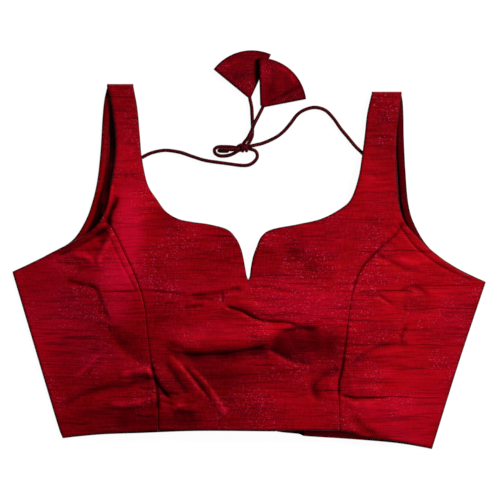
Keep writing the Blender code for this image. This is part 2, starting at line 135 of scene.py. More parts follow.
class Graph:
    """The nodes of a finish or of a node group."""

    def __init__(self, tree):
        self.tree = tree

    def node(self, kind, inputs=(), **settings):
        made = self.tree.nodes.new(kind)
        for setting, value in settings.items():
            setattr(made, setting, value)
        for socket, value in dict(inputs).items():
            self.feed(made.inputs[socket], value)
        return made

    def feed(self, socket, value):
        if isinstance(value, bpy.types.NodeSocket):
            self.tree.links.new(value, socket)
        else:
            socket.default_value = value

    def place(self):
        return self.node("ShaderNodeTexCoord").outputs["Object"]

    def stretched(self, scale):
        return self.node("ShaderNodeMapping", {"Vector": self.place(), "Scale": scale}).outputs[0]

    def noise(self, scale, detail=2.0, roughness=0.5):
        where = {"Vector": self.stretched(scale), "Scale": 1.0, "Detail": detail, "Roughness": roughness}
        return self.node("ShaderNodeTexNoise", where).outputs["Fac"]

    def ramp(self, value, low, high, bottom=0.0, top=1.0):
        limits = {"Value": value, "From Min": low, "From Max": high, "To Min": bottom, "To Max": top}
        return self.node("ShaderNodeMapRange", limits, interpolation_type="SMOOTHSTEP").outputs["Result"]

    def math(self, operation, first, second=0.0):
        return self.node("ShaderNodeMath", {0: first, 1: second}, operation=operation).outputs[0]

    def mix(self, amount, first, second):
        made = self.node("ShaderNodeMix", data_type="RGBA")
        for number, value in ((0, amount), (6, first), (7, second)):
            self.feed(made.inputs[number], value)
        return made.outputs[2]

    def bump(self, height, distance, strength=1.0, under=None):
        inputs = {"Height": height, "Distance": distance, "Strength": strength}
        if under:
            inputs["Normal"] = under
        return self.node("ShaderNodeBump", inputs).outputs["Normal"]

    def attribute(self, name):
        return self.node("ShaderNodeAttribute", attribute_name=name).outputs["Fac"]


class Finish(Graph):
    """A new material's graph, which ends at its shader."""

    def __init__(self, name):
        self.material = bpy.data.materials.new(name)
        self.material.use_nodes = True
        super().__init__(self.material.node_tree)

    def finished(self, inputs):
        """Sets the shader's own inputs, by nodes where they vary and by value where they don't."""
        shader = self.tree.nodes["Principled BSDF"]
        for socket, value in inputs.items():
            self.feed(shader.inputs[socket], value)
        return self.material


# %% [markdown]
# The dori is a rouleau: a bias strip of the blouse's silk sewn into a narrow tube and turned right side
# out. It shows a seam that wanders round it, fine slanting threads and little wrinkles on the inside of
# each bend. A bevelled curve would be the quick way, but it is perfectly round, so the tube is swept by
# hand instead: a ring of points is carried along the route, and its radius follows the seam and the
# wrinkles.

# %% The cloth of the cords
CORD_DIAMETER = 0.0035
THREADS_A_METRE = 900.0
THREADS_ROUND = 3.0
# These colours are far darker than the silk that the rouleau is made of: the tube's shade is painted into
# them.
CORD_SHADE, CORD_CLOTH_SHADED = linear(19, 0, 3), linear(54, 2, 7)
CORD_THREAD, CORD_SEAM = linear(92, 3, 13), linear(24, 1, 5)


def cord_finish():
    cloth = Finish("rouleau_silk")
    turns = cloth.math("MULTIPLY", cloth.attribute("round"), THREADS_ROUND)
    slant = cloth.math("ADD", cloth.math("MULTIPLY", cloth.attribute("along"), THREADS_A_METRE), turns)
    threads = cloth.math("PINGPONG", slant, 0.5)
    blotch = cloth.noise((240, 240, 240), detail=3.0)
    dark = cloth.mix(cloth.ramp(blotch, 0.35, 0.65), CORD_SHADE, CORD_CLOTH_SHADED)
    lit = cloth.mix(cloth.math("MULTIPLY", threads, 0.5), dark, CORD_THREAD)
    return cloth.finished({
        "Base Color": cloth.mix(cloth.attribute("seam"), lit, CORD_SEAM),
        "Roughness": cloth.ramp(blotch, 0.3, 0.7, 0.5, 0.68),
        "Specular IOR Level": 0.3,
        "Specular Tint": linear(255, 70, 90),
        "Normal": cloth.bump(threads, 0.0002, 0.6),
    })


rouleau_silk = cord_finish()
print("finish:", rouleau_silk.name)

# %% [markdown]
# A ring has to be carried along the route without twisting. Each ring's sideways direction is the last
# one's, turned only as far as the route itself has turned. That is called parallel transport.

# %% Sweeping a tube along a route
RING_POINTS = 16
RING_STEP = 0.0008
SEAM_TWIST = 55
SEAM_HALF_ANGLE = 0.28
SEAM_DARK = 0.8


def carried_frames(path):
    """For each point of the path, two directions square to it that twist as little as they can."""
    along = np.gradient(path, axis=0)
    along /= np.linalg.norm(along, axis=1)[:, None]
    side = np.cross(along[0], (0, 0, 1))
    if np.linalg.norm(side) < 0.1:
        side = np.cross(along[0], (0, 1, 0))
    sides = []
    for direction in along:
        side = side - direction * side.dot(direction)
        side = side / np.linalg.norm(side)
        sides.append(side)
    sides = np.array(sides)
    return sides, np.cross(along, sides)


def rouleau_radius(radius, angles, travelled, phase):
    """The tube's radius at each ring and angle: the seam's ridge, then wrinkles and a slow swelling."""
    travelled, angles = travelled[:, None], angles[None, :]
    from_seam = np.angle(np.exp(1j * (angles - phase - SEAM_TWIST * travelled)))
    seam = fade_out(from_seam, SEAM_HALF_ANGLE)
    wrinkle = np.sin(1900 * travelled + 2 * np.sin(310 * travelled) + 2 * angles + phase)
    swell = np.sin(170 * travelled + phase)
    return radius * (1.03 + 0.05 * seam + 0.022 * wrinkle + 0.02 * swell), seam


def tube_into(shape, path, radius, phase=0.0):
    """Adds one rouleau tube with rounded ends to a bmesh."""
    sides, ups = carried_frames(path)
    travelled = distances_along(path)
    angles = np.linspace(0, 2 * math.pi, RING_POINTS, endpoint=False)
    radii, seam = rouleau_radius(radius, angles, travelled, phase)
    from_end = np.minimum(np.minimum(travelled, travelled[-1] - travelled) / radius, 1)
    radii = radii * np.sqrt(np.clip(from_end * (2 - from_end), 0.2, 1))[:, None]
    layers = {name: shape.verts.layers.float.get(name) or shape.verts.layers.float.new(name)
              for name in ("round", "along", "seam")}
    rings = []
    for k, middle in enumerate(path):
        ring = []
        for n, angle in enumerate(angles):
            out = math.cos(angle) * sides[k] + math.sin(angle) * ups[k]
            vert = shape.verts.new(middle + radii[k, n] * out)
            vert[layers["round"]] = n / RING_POINTS
            vert[layers["along"]] = travelled[k]
            vert[layers["seam"]] = seam[k, n] * SEAM_DARK
            ring.append(vert)
        rings.append(ring)
    for near, far in zip(rings, rings[1:]):
        for n in range(RING_POINTS):
            after = (n + 1) % RING_POINTS
            shape.faces.new((near[n], near[after], far[after], far[n]))
    shape.faces.new(rings[0][::-1])
    shape.faces.new(rings[-1])


def lay_out(mesh, *finishes):
    """Puts a smooth-shaded mesh with those finishes into the scene, as an object of the same name."""
    mesh.shade_smooth()
    for finish in finishes:
        mesh.materials.append(finish)
    piece = bpy.data.objects.new(mesh.name, mesh)
    bpy.context.scene.collection.objects.link(piece)
    return piece


def cord_piece(name, shape):
    bmesh.ops.recalc_face_normals(shape, faces=shape.faces)
    mesh = bpy.data.meshes.new(name)
    shape.to_mesh(mesh)
    shape.free()
    return lay_out(mesh, rouleau_silk)


def dress(piece, slot, *nodes):
    """Puts a piece in the place of its solids, on the one body that the blouse has."""
    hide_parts(*nodes)
    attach(piece, "root")
    return piece


# %% [markdown]
# The two doris leave the back straps' neck edges, lie on the table in loose curves and meet in the knot.
# The routes are the pattern's own, in metres. There the cords stop just short of the knot, because its
# solids may not run into each other. Cloth has no such rule, so here one more point takes each cord inside
# the knot.

# %% The routes of the doris
DORI_LEFT = [
    (-0.1132, 0.1049, 0.0019), (-0.107, 0.109, 0.0019), (-0.0985, 0.1132, 0.0019), (-0.0885, 0.1157, 0.0019),
    (-0.0805, 0.116, 0.0019), (-0.0685, 0.114, 0.0019), (-0.056, 0.1098, 0.0019), (-0.0435, 0.106, 0.0019),
    (-0.025, 0.1033, 0.0019), (-0.006, 0.101, 0.0019), (0.002, 0.1025, 0.0019), (0.0072, 0.1072, 0.0019),
    (0.0083, 0.1116, 0.0019), (0.0062, 0.1156, 0.0019), (0.0015, 0.1173, 0.0021), (-0.0025, 0.1182, 0.0032),
]
DORI_RIGHT = [
    (0.1181, 0.1064, 0.0019), (0.1135, 0.113, 0.0019), (0.1065, 0.12, 0.0019), (0.099, 0.129, 0.0019),
    (0.0915, 0.138, 0.0019), (0.0845, 0.148, 0.0019), (0.0765, 0.156, 0.0019), (0.0665, 0.159, 0.0019),
    (0.0565, 0.157, 0.0019), (0.0485, 0.152, 0.0019), (0.0415, 0.143, 0.0019), (0.0345, 0.135, 0.0019),
    (0.0265, 0.129, 0.0019), (0.0143, 0.1234, 0.0028), (0.0074, 0.1216, 0.0041), (0.0015, 0.1202, 0.005),
    (-0.0025, 0.1192, 0.0048),
]


def sew_cord(name, route, phase):
    path = smooth_curve(route, RING_STEP)
    shape = bmesh.new()
    tube_into(shape, path, CORD_DIAMETER / 2, phase)
    cord = cord_piece(name, shape)
    print(name, "is", round(length_of(path) / MM), "mm long")
    return cord, path


dori_left, dori_left_path = sew_cord("rouleau_dori_left", DORI_LEFT, 0.4)
dori_right, dori_right_path = sew_cord("rouleau_dori_right", DORI_RIGHT, 2.1)

# %% [markdown]
# Past the knot, each dori goes on as a tail that ends in its tassel. The bow has one open loop on the left,
# and a second loop that stands on edge over it, so that from above it looks like one doubled cord.

# %% The tails and the bow
TAIL_LEFT = [
    (-0.0035, 0.1198, 0.003), (-0.0009, 0.1223, 0.0021), (0.0029, 0.1296, 0.0019), (0.0035, 0.136, 0.0019),
    (0.0033, 0.144, 0.0019), (0.0031, 0.152, 0.0019), (0.0025, 0.16, 0.0019), (0.0008, 0.1682, 0.0023),
    (0.001, 0.1714, 0.0024),
]
TAIL_RIGHT = [
    (-0.0066, 0.1208, 0.0048), (-0.0046, 0.124, 0.0049), (-0.0015, 0.1279, 0.0052), (0.0023, 0.1351, 0.0058),
    (0.0053, 0.1426, 0.0058), (0.0092, 0.1501, 0.004), (0.0132, 0.1582, 0.0023), (0.0146, 0.1618, 0.0024),
]
BOW_LOOP = [
    (-0.0095, 0.1186, 0.0038), (-0.0137, 0.1189, 0.0032), (-0.018, 0.1195, 0.0024), (-0.024, 0.1198, 0.0019),
    (-0.0308, 0.1196, 0.0019), (-0.0344, 0.1172, 0.0019), (-0.0339, 0.1134, 0.0019),
    (-0.0302, 0.1109, 0.0019), (-0.025, 0.1104, 0.0019), (-0.0195, 0.1113, 0.0019),
    (-0.0152, 0.1131, 0.0019), (-0.0128, 0.1146, 0.0021), (-0.0095, 0.1164, 0.0032),
]
BOW_TUCK = [
    (-0.0095, 0.117, 0.0052), (-0.0132, 0.1168, 0.0058), (-0.0185, 0.1166, 0.0058),
    (-0.0255, 0.1165, 0.0057), (-0.0292, 0.1162, 0.0049), (-0.0301, 0.1158, 0.0039),
    (-0.0292, 0.1154, 0.0027), (-0.0255, 0.1152, 0.0019), (-0.02, 0.1153, 0.0019),
]

tail_left, tail_left_path = sew_cord("rouleau_tail_left", TAIL_LEFT, 1.2)
tail_right, tail_right_path = sew_cord("rouleau_tail_right", TAIL_RIGHT, 3.0)
bow_loop, bow_loop_path = sew_cord("rouleau_bow_loop", BOW_LOOP, 0.9)
bow_tuck, _ = sew_cord("rouleau_bow_tuck", BOW_TUCK, 4.2)

# %% [markdown]
# The knot is the same two cords pulled tight: they wind round the bow's waist and cross over it. Modelling
# a true knot that pulls tight would take a simulation, and none of its inside shows. Here a helix makes the
# turns round the waist, two short strands cross over the top, and a small core closes the gaps between
# them.

# %% The knot
KNOT_CENTRE = np.array([-0.006, 0.1184, 0.0036])
KNOT_TURNS = 3.2
KNOT_RINGS = 90
KNOT_ROUNDNESS = 1.15
KNOT_SWAY = 0.0006
KNOT_HALF_LENGTH = 0.0062
KNOT_WAIST = (0.003, 0.0019)
KNOT_CORD_RADIUS = 0.0017
KNOT_CROSSING_RADIUS = 0.0014
KNOT_CROSSINGS = [
    [(-0.0062, 0.0006, 0.0006), (-0.0038, 0.0024, 0.0019), (0.0002, 0.0016, 0.0022),
     (0.0036, -0.0006, 0.0016), (0.0056, -0.002, -0.0002)],
    [(-0.0058, -0.0022, 0.0002), (-0.0026, -0.0026, 0.0014), (0.0012, -0.0008, 0.0024),
     (0.0042, 0.0018, 0.0012), (0.0058, 0.0024, -0.0006)],
]


def tie_knot():
    shape = bmesh.new()
    turn = np.linspace(0, 2 * math.pi * KNOT_TURNS, KNOT_RINGS)
    part = turn / turn[-1] * 2 - 1
    swell = np.sqrt(np.clip(KNOT_ROUNDNESS - part**2, 0, 1))
    helix = np.column_stack([
        KNOT_HALF_LENGTH * part + KNOT_SWAY * np.sin(turn),
        KNOT_WAIST[0] * swell * np.cos(turn),
        KNOT_WAIST[1] * swell * np.sin(turn),
    ])
    tube_into(shape, KNOT_CENTRE + helix, KNOT_CORD_RADIUS, 0.3)
    for number, crossing in enumerate(KNOT_CROSSINGS):
        path = KNOT_CENTRE + smooth_curve(crossing, RING_STEP)
        tube_into(shape, path, KNOT_CROSSING_RADIUS, 2.0 * number)
    core = bmesh.ops.create_uvsphere(shape, u_segments=16, v_segments=10, radius=1)["verts"]
    half = (KNOT_HALF_LENGTH, *KNOT_WAIST)
    for vert in core:
        vert.co = Vector(KNOT_CENTRE) + Vector(vert.co[axis] * half[axis] for axis in range(3))
    return cord_piece("rouleau_knot", shape)


knot = tie_knot()
print("knot faces:", len(knot.data.polygons))

# %% [markdown]
# Each cord is listed with its path, what is on its far end and what it carries, and takes the place of its
# solid. The left dori carries the knot and the bow's short loop, which is too short to count as a cord of
# its own.

# %% Listing the cords
dress(knot, "dori_cord", "dori_knot")
dress(bow_tuck, "dori_cord", "bow_tuck")
CORDS = [
    (dori_left, "dori_left", dori_left_path, "knot", [knot, bow_tuck]),
    (dori_right, "dori_right", dori_right_path, "object", []),
    (bow_loop, "bow_loop", bow_loop_path, "object", []),
]
for cord, node, path, far_end, carried in CORDS:
    dress(cord, "dori_cord", node)

# %% [markdown]
# The finish of the whole blouse is raw silk, also called dupion. Its weft threads swell and thin along
# their length, which leaves slubs: short, dark, uneven streaks that all run across the cloth. Between them
# the plain weave glints pink, and those glints are painted into the colour. All of it is worked out from
# the place on the cloth, in metres, so the streaks keep their real size on every panel, with no unwrapping.
# The longest slubs are placed one by one: each is a copy of a small node group, which is a graph that takes
# sizes as a function takes arguments.

# %% Raw silk: the slubs
SLUB_WANDER = (22, 22, 22)
SLUB_DRIFT = 0.012
SLUB_CORE, SLUB_EDGE = 0.0002, 0.0009
SLUB_TAPER = 0.012
LONG_SLUBS = [
    # The height on the cloth, the start, the end and how dark, in millimetres and parts of one
    (-25.0, -150, -108, 0.75), (-26.4, -104, -10, 0.6), (-25.2, 105, 172, 0.7), (-41.5, 142, 232, 0.7),
    (-131.0, -28, 60, 0.55), (-130.2, 92, 198, 0.85), (15.6, 104, 182, 0.8), (-54.6, 88, 132, 0.6),
    (8.0, -102, -14, 0.5), (-79.0, 100, 212, 0.6), (-52.8, -216, -160, 0.55), (-84.5, -212, -108, 0.55),
    (-151.5, 96, 190, 0.55), (-154.0, -60, 40, 0.5), (-102.5, -98, -52, 0.4), (105.0, -133, -112, 0.7),
    (88.0, 118, 146, 0.6), (131.5, 118, 146, 0.7), (112.0, 119, 146, 0.5), (52.0, -88, -54, 0.55),
]


def long_slub_group():
    """One thick weft thread across the cloth, as a reusable group: 1 on the thread and 0 off it."""
    group = bpy.data.node_groups.new("long_slub", "ShaderNodeTree")
    for name in ("Height", "Start", "End"):
        group.interface.new_socket(name, in_out="INPUT", socket_type="NodeSocketFloat")
    group.interface.new_socket("Thread", in_out="OUTPUT", socket_type="NodeSocketFloat")
    slub = Graph(group)
    given = slub.node("NodeGroupInput").outputs
    place = slub.node("ShaderNodeSeparateXYZ", {"Vector": slub.place()}).outputs
    drift = slub.math("MULTIPLY", slub.math("SUBTRACT", slub.noise(SLUB_WANDER), 0.5), SLUB_DRIFT)
    above = slub.math("SUBTRACT", slub.math("SUBTRACT", place["Y"], given["Height"]), drift)
    on_thread = slub.ramp(slub.math("ABSOLUTE", above), SLUB_EDGE, SLUB_CORE)
    after_start = slub.ramp(slub.math("SUBTRACT", place["X"], given["Start"]), 0.0, SLUB_TAPER)
    before_end = slub.ramp(slub.math("SUBTRACT", given["End"], place["X"]), 0.0, SLUB_TAPER)
    thread = slub.math("MULTIPLY", on_thread, slub.math("MULTIPLY", after_start, before_end))
    slub.node("NodeGroupOutput", {"Thread": thread})
    return group


long_slub = long_slub_group()


def long_slubs(cloth):
    """The longest threads of the weft, where the strongest wins."""
    total = 0.0
    for height, start, end, strength in LONG_SLUBS:
        thread = cloth.node("ShaderNodeGroup", node_tree=long_slub)
        for socket, value in (("Height", height), ("Start", start), ("End", end)):
            thread.inputs[socket].default_value = value * MM
        total = cloth.math("MAXIMUM", total, cloth.math("MULTIPLY", thread.outputs[0], strength))
    return total


print("long slubs:", len(LONG_SLUBS))

# %% [markdown]
# Three stretched noises make the shorter slubs: one for streaks of a few centimetres, one for the fine
# lines between them and one, stretched the other way, for the warp. Where the slub noise is high, the
# colour falls towards black and the thread stands a little proud of the cloth. Sheen and a red-tinted gloss
# do the rest.


# %% Raw silk: the finish
# The first colour darkens the slubs, and it is also the painted shade of the marks and of the rolled edges.
# The second is painted pink glints, and the third is painted light.
SLUB_AND_PAINTED_SHADE = linear(26, 0, 3)
GLINT_PINK = linear(226, 66, 120)
SILK_IN_LIGHT = linear(214, 10, 50)


def raw_silk(name, lit, shade, gleam, slub_depth=0.85, with_long_slubs=True):
    cloth = Finish(name)
    # Broad clouds of shade, then bands of it along the weft
    broad = cloth.noise((9, 9, 9), detail=2.0)
    colour = cloth.mix(cloth.ramp(broad, 0.3, 0.7), shade, lit)
    bands = cloth.noise((7, 75, 40), detail=3.0, roughness=0.6)
    colour = cloth.mix(cloth.ramp(bands, 0.42, 0.68, 0.0, 0.55), colour, shade)
    # The plain weave, with a painted gleam where thick threads of the warp and the weft cross
    warp = cloth.noise((900, 210, 300), detail=1.0)
    weft = cloth.noise((70, 760, 300), detail=1.0)
    weave = cloth.math("MULTIPLY", warp, weft)
    colour = cloth.mix(cloth.ramp(weave, 0.16, 0.38, 0.0, 0.36), colour, gleam)
    # Painted pink glints, the size of a thread and only in patches
    glint_noise = cloth.noise((620, 620, 620), detail=1.0)
    glint_place = cloth.ramp(cloth.noise((26, 26, 26)), 0.45, 0.62)
    glint = cloth.math("MULTIPLY", cloth.ramp(glint_noise, 0.6, 0.74), glint_place)
    colour = cloth.mix(cloth.math("MULTIPLY", glint, 0.5), colour, GLINT_PINK)
    # Slubs: streaks in patches, fine lines everywhere and the long threads
    streaks = cloth.noise((17, 330, 60), detail=2.0, roughness=0.65)
    where = cloth.ramp(cloth.noise((14, 40, 20), detail=1.0), 0.36, 0.6)
    slubs = cloth.math("MULTIPLY", cloth.ramp(streaks, 0.56, 0.72, 0.0, 0.78), where)
    fine = cloth.ramp(cloth.noise((30, 470, 60), detail=2.0, roughness=0.6), 0.5, 0.68, 0.0, 0.44)
    slubs = cloth.math("MAXIMUM", slubs, fine)
    if with_long_slubs:
        slubs = cloth.math("MAXIMUM", slubs, long_slubs(cloth))
    # The painted light and shade of the marks, with the slubs between them
    painted_shading = cloth.attribute("painted_shading")
    colour = cloth.mix(cloth.math("MULTIPLY", painted_shading, -1.0), colour, SILK_IN_LIGHT)
    colour = cloth.mix(cloth.math("MULTIPLY", slubs, slub_depth), colour, SLUB_AND_PAINTED_SHADE)
    colour = cloth.mix(painted_shading, colour, SLUB_AND_PAINTED_SHADE)
    # The edge mark paints shade along the rolled edges, in the same near-black
    return cloth.finished({
        "Base Color": cloth.mix(cloth.attribute("edge"), colour, SLUB_AND_PAINTED_SHADE),
        "Roughness": cloth.ramp(weave, 0.1, 0.4, 0.62, 0.44),
        "Specular IOR Level": cloth.ramp(painted_shading, 0.1, 0.9, 0.34, 0.02),
        "Specular Tint": linear(255, 8, 10),
        "Sheen Weight": 0.04,
        "Sheen Roughness": 0.4,
        "Sheen Tint": linear(255, 14, 22),
        "Normal": cloth.bump(slubs, 0.0003, 0.6, under=cloth.bump(weave, 0.0006, 0.5)),
    })


silk = raw_silk("raw_silk_crimson", linear(166, 3, 14), linear(108, 1, 3), linear(192, 7, 40))
print("finish:", silk.name)

# %% [markdown]
# The inside is lined with plain maroon cotton. It lies in shade under the front, so it reads almost black.
# It takes the same `painted_shading` as the silk, so a mark on the lining can be lit or darkened too.


# %% The lining
COTTON_SHADE, COTTON = linear(26, 0, 4), linear(88, 3, 13)
COTTON_THREAD = linear(82, 4, 16)
# Painted light and painted shade for the marks on the lining
COTTON_IN_LIGHT, COTTON_PAINTED_SHADE = linear(196, 4, 34), linear(10, 0, 2)


def lining_finish():
    cloth = Finish("cotton_lining_maroon")
    warp = cloth.noise((900, 160, 300), detail=1.0)
    weft = cloth.noise((160, 900, 300), detail=1.0)
    weave = cloth.math("MULTIPLY", warp, weft)
    blotch = cloth.noise((60, 14, 30), detail=3.0)
    colour = cloth.mix(cloth.ramp(blotch, 0.42, 0.62), COTTON_SHADE, COTTON)
    colour = cloth.mix(cloth.ramp(weave, 0.15, 0.4, 0.0, 0.4), colour, COTTON_THREAD)
    # The marks paint light where they are below nothing and shade where they are above
    painted_shading = cloth.attribute("painted_shading")
    colour = cloth.mix(cloth.math("MULTIPLY", painted_shading, -1.0), colour, COTTON_IN_LIGHT)
    return cloth.finished({
        "Base Color": cloth.mix(painted_shading, colour, COTTON_PAINTED_SHADE),
        "Roughness": cloth.ramp(weave, 0.1, 0.4, 0.9, 0.75),
        "Specular IOR Level": 0.12,
        "Normal": cloth.bump(weave, 0.0003, 0.5),
    })


lining = lining_finish()
print("finish:", lining.name)

# %% [markdown]
# Now the pattern pieces. Each cut edge is a short list of points from the top down or from left to right,
# in millimetres, the same as in the pattern. A smooth line is drawn through each, and the lines that meet
# make the outline of a panel.

# %% The cut edges
Strap = namedtuple("Strap", "inner outer top")
LEFT_STRAP = Strap(inner=-115.6, outer=-141.7, top=182.5)
RIGHT_STRAP = Strap(inner=122.6, outer=152.3, top=174.8)

NECK_LEFT = [(-115.6, 180), (-111.6, 158), (-109, 130), (-106.9, 108), (-101.2, 82), (-92, 67),
             (-83, 55), (-71, 47.6), (-57, 44.4), (-40, 42), (-22, 37), (-13, 28), (-8.5, 19), (-6, 10),
             (-4, -1), (-2.4, -9.5), (-0.9, -13.2)]
NECK_RIGHT = [(122.6, 173), (118, 152), (115.5, 130), (112.5, 108), (109, 88), (102, 68), (92, 58),
              (72, 47.5), (48.5, 42), (23, 37), (12.5, 30), (7.4, 18.8), (4.2, 10), (2, -1), (0.8, -10),
              (-0.9, -13.2)]
ARM_LEFT = [(-141.7, 180), (-137, 161), (-133.4, 131), (-133.3, 112), (-135.6, 94), (-138.4, 78),
            (-141.4, 62), (-145.2, 50)]
ARM_LEFT_LOW = [(-145.2, 50), (-151.8, 41), (-168, 28.5), (-192, 16.5), (-212, 6), (-236.5, -5.3)]
ARM_RIGHT = [(152.3, 173), (149.5, 152), (147.2, 130), (146.6, 100), (148, 72), (150.5, 57),
             (154.5, 45)]
ARM_RIGHT_LOW = [(154.5, 45), (160, 37.6), (166, 31.4), (172.5, 25), (180.3, 17.4), (205.3, -0.8),
                 (236.5, -15.5)]
PRINCESS_LEFT = [(-145.2, 50), (-135.8, 36.6), (-123.8, 12), (-112.6, -12), (-105, -36), (-102, -60),
                 (-99, -88), (-95, -110), (-91, -128), (-90.5, -163.5)]
PRINCESS_RIGHT = [(154.5, 45), (145.6, 31.6), (128.5, 16), (111.4, -3), (102.6, -26), (98.4, -53),
                  (95.6, -80), (91.3, -108), (89.3, -122), (90.5, -163.5)]
SIDE_LEFT = [(-236.5, -5.3), (-194, -148.5), (-186.2, -171.5)]
SIDE_RIGHT = [(236.5, -15.5), (209, -98), (182.8, -182.4)]
HEM_LEFT = [(-186.2, -171.5), (-148, -167), (-108, -165), (-90.5, -163.5)]
HEM_CENTRE = [(-90.5, -163.5), (90.5, -163.5)]
HEM_RIGHT = [(90.5, -163.5), (103, -166), (117, -170.5), (151, -175), (182.8, -182.4)]
BACK_ARM_LEFT = [(-141.7, 180), (-144.8, 166), (-146.7, 146), (-148.5, 116), (-151.5, 88), (-156, 67),
                 (-163.5, 46), (-177, 26), (-201, 12), (-236.5, -5.3)]
BACK_ARM_RIGHT = [(152.3, 173), (153.8, 164), (154.5, 150), (154.9, 128), (156.5, 95), (159.5, 62),
                  (166, 41), (180.5, 18.4), (205.5, 0), (236.5, -15.5)]
OPENING_LEFT, OPENING_RIGHT = 27.0, 55.5
BACK_NECK_LEFT = [(-115.6, 180), (-116.8, 150), (-115.5, 116), (-110, 78), (-99, 44), (-82, 14),
                  (-56, -10), (-20, -24), (OPENING_LEFT, -28)]
BACK_NECK_RIGHT = [(122.6, 173), (122.4, 150), (120.5, 116), (115.5, 78), (105, 44), (90, 14),
                   (74, -9), (OPENING_RIGHT, -22)]
BACK_HEM_LEFT = [(-186.2, -171.5), (-148, -168), (-108, -166.5), (-50, -164.5), (OPENING_LEFT, -165)]
BACK_HEM_RIGHT = [(OPENING_RIGHT, -169.5), (111, -173.3), (151, -177), (182.8, -182.4)]
print("cut edges drawn for a blouse", round(SIDE_RIGHT[0][0] - SIDE_LEFT[0][0]), "mm across")

# %% [markdown]
# Laid flat, a blouse still stands off the table. At the side seams front and back meet, in the middle the
# bust fullness holds the front up, and the cups make two low mounds. This shape is a plain function of the
# place, which numpy works out for thousands of points at once.

# %% How high the front stands
CLOTH = 1.2
SEAM_GAP = 0.3
SIDE_SEAM_Z = CLOTH * 1.5 + SEAM_GAP
FRONT_AIR = 8.4
AIR_REACH = 52.0
STRAP_Z = 5.4
STRAP_SETTLES = (60, 160)
Mound = namedtuple("Mound", "name height x y half_x half_y")
MOUNDS = [
    Mound("left_cup", 4.6, -90, -40, 56, 46),
    Mound("right_cup", 5.4, 92, -44, 58, 48),
    Mound("under_neckline", 1.6, -10, -20, 50, 34),
]


def from_stretch(x, y, start, end):
    """How far each point is from a straight stretch, and how far along it, from 0 to 1."""
    (x0, y0), (x1, y1) = start, end
    dx, dy = x1 - x0, y1 - y0
    t = np.clip(((x - x0) * dx + (y - y0) * dy) / (dx * dx + dy * dy), 0, 1)
    return np.hypot(x - x0 - t * dx, y - y0 - t * dy), t


def distance_to_route(x, y, route):
    nearest = np.full(np.shape(x), np.inf)
    for start, end in zip(route, route[1:]):
        nearest = np.minimum(nearest, from_stretch(x, y, start, end)[0])
    return nearest


def side_air(x, y):
    """0 at the side seams, where front meets back, rising to 1 where the front stands clear of it."""
    nearest = np.minimum(distance_to_route(x, y, SIDE_LEFT), distance_to_route(x, y, SIDE_RIGHT))
    return 1 - fade_out(nearest, AIR_REACH)


# %% [markdown]
# Creases are placed one by one, from where they run on the real cloth. Each is a soft trough or ridge along
# its own smooth line. It is steeper on one side than on the other, as real folds are, and fades out at both
# ends. A row says how high it stands, or how deep where that is below nothing, how wide it is to the left
# and to the right of its line, how dark it is, and where the line runs. Such a list is easier to adjust than
# a sculpted mesh, and a simulation would fold the cloth wherever it liked. The first ones lie across the
# bust and under it, where the cups sink in because nobody wears them, with a hollow on the right.

# %% The creases of the bust
# A crease's dark value paints shade along its line, and a value below nothing paints light there.
Crease = namedtuple("Crease", "name height left right dark route")
CREASES = [
    Crease("under_bust", -4.0, 2.0, 11, 0.72, [
        (-68, -87), (-42, -87.3), (-17.5, -85.6), (-1, -83), (10, -80.6), (18, -79), (23, -80)]),
    Crease("under_bust_start", -1.4, 1.8, 7, 0.35, [(-86, -79), (-78, -84), (-68, -86.8), (-56, -87.4)]),
    Crease("cup_edge", 3.2, 11, 5, 0, [(-86, -70), (-62, -78), (-36, -78), (-8, -75), (14, -70), (26, -62)]),
    Crease("hollow_top", -4.0, 3.0, 13, 0.45, [
        (15, -80.5), (22.5, -76), (29, -71.6), (35.3, -66), (43, -63.3), (56, -62.4), (72, -63)]),
    Crease("hollow_floor", -3.0, 14, 12, 0.15, [(36, -78), (58, -80), (88, -80)]),
    Crease("hollow_foot", -1.4, 6, 3, 0.4, [
        (15, -79.6), (26.5, -85.2), (37.5, -91), (48.5, -95.6), (66, -97)]),
    Crease("hollow_lip", 0.7, 4, 9, -0.1, [(18, -87), (30, -93), (42, -99), (60, -103)]),
    Crease("across_bust", -2.4, 1.7, 2.8, 0.75, [
        (-24, -38.5), (-20.8, -40.3), (-8, -44), (2, -49.3), (12.3, -53.7), (22.5, -55), (35.3, -55.6),
        (48, -58.5)]),
    Crease("across_bust_lip", 1.4, 5, 5, -0.12, [(-14, -34), (8, -42), (34, -47)]),
    Crease("lit_band", 1.3, 3.6, 4.4, -0.25, [(2, -69), (18, -65.6), (34, -60.6), (50, -60)]),
    Crease("nick", -1.0, 1.2, 1.4, 0.55, [(-26.8, -24), (-26.2, -38)]),
    Crease("notch_fold", -1.7, 1.8, 4.4, 0.6, [
        (-62, -29.5), (-41.5, -27.4), (-28.5, -25.2), (-14.2, -22.4), (-6, -23.6)]),
    Crease("notch_fold_right", -0.9, 1.8, 3, 0.35, [(-3, -18.6), (20, -21), (35.3, -24.4), (50.5, -26.3)]),
    Crease("short_tuck", -1.6, 1.7, 2.4, 0.65, [(-67, -42), (-55.5, -39.8), (-44, -38.4)]),
    Crease("short_tuck_high", -1.1, 1.5, 2.2, 0.45, [(-57, -35.8), (-50, -32.6), (-32.7, -33.2)]),
]
print("creases of the bust:", len(CREASES))
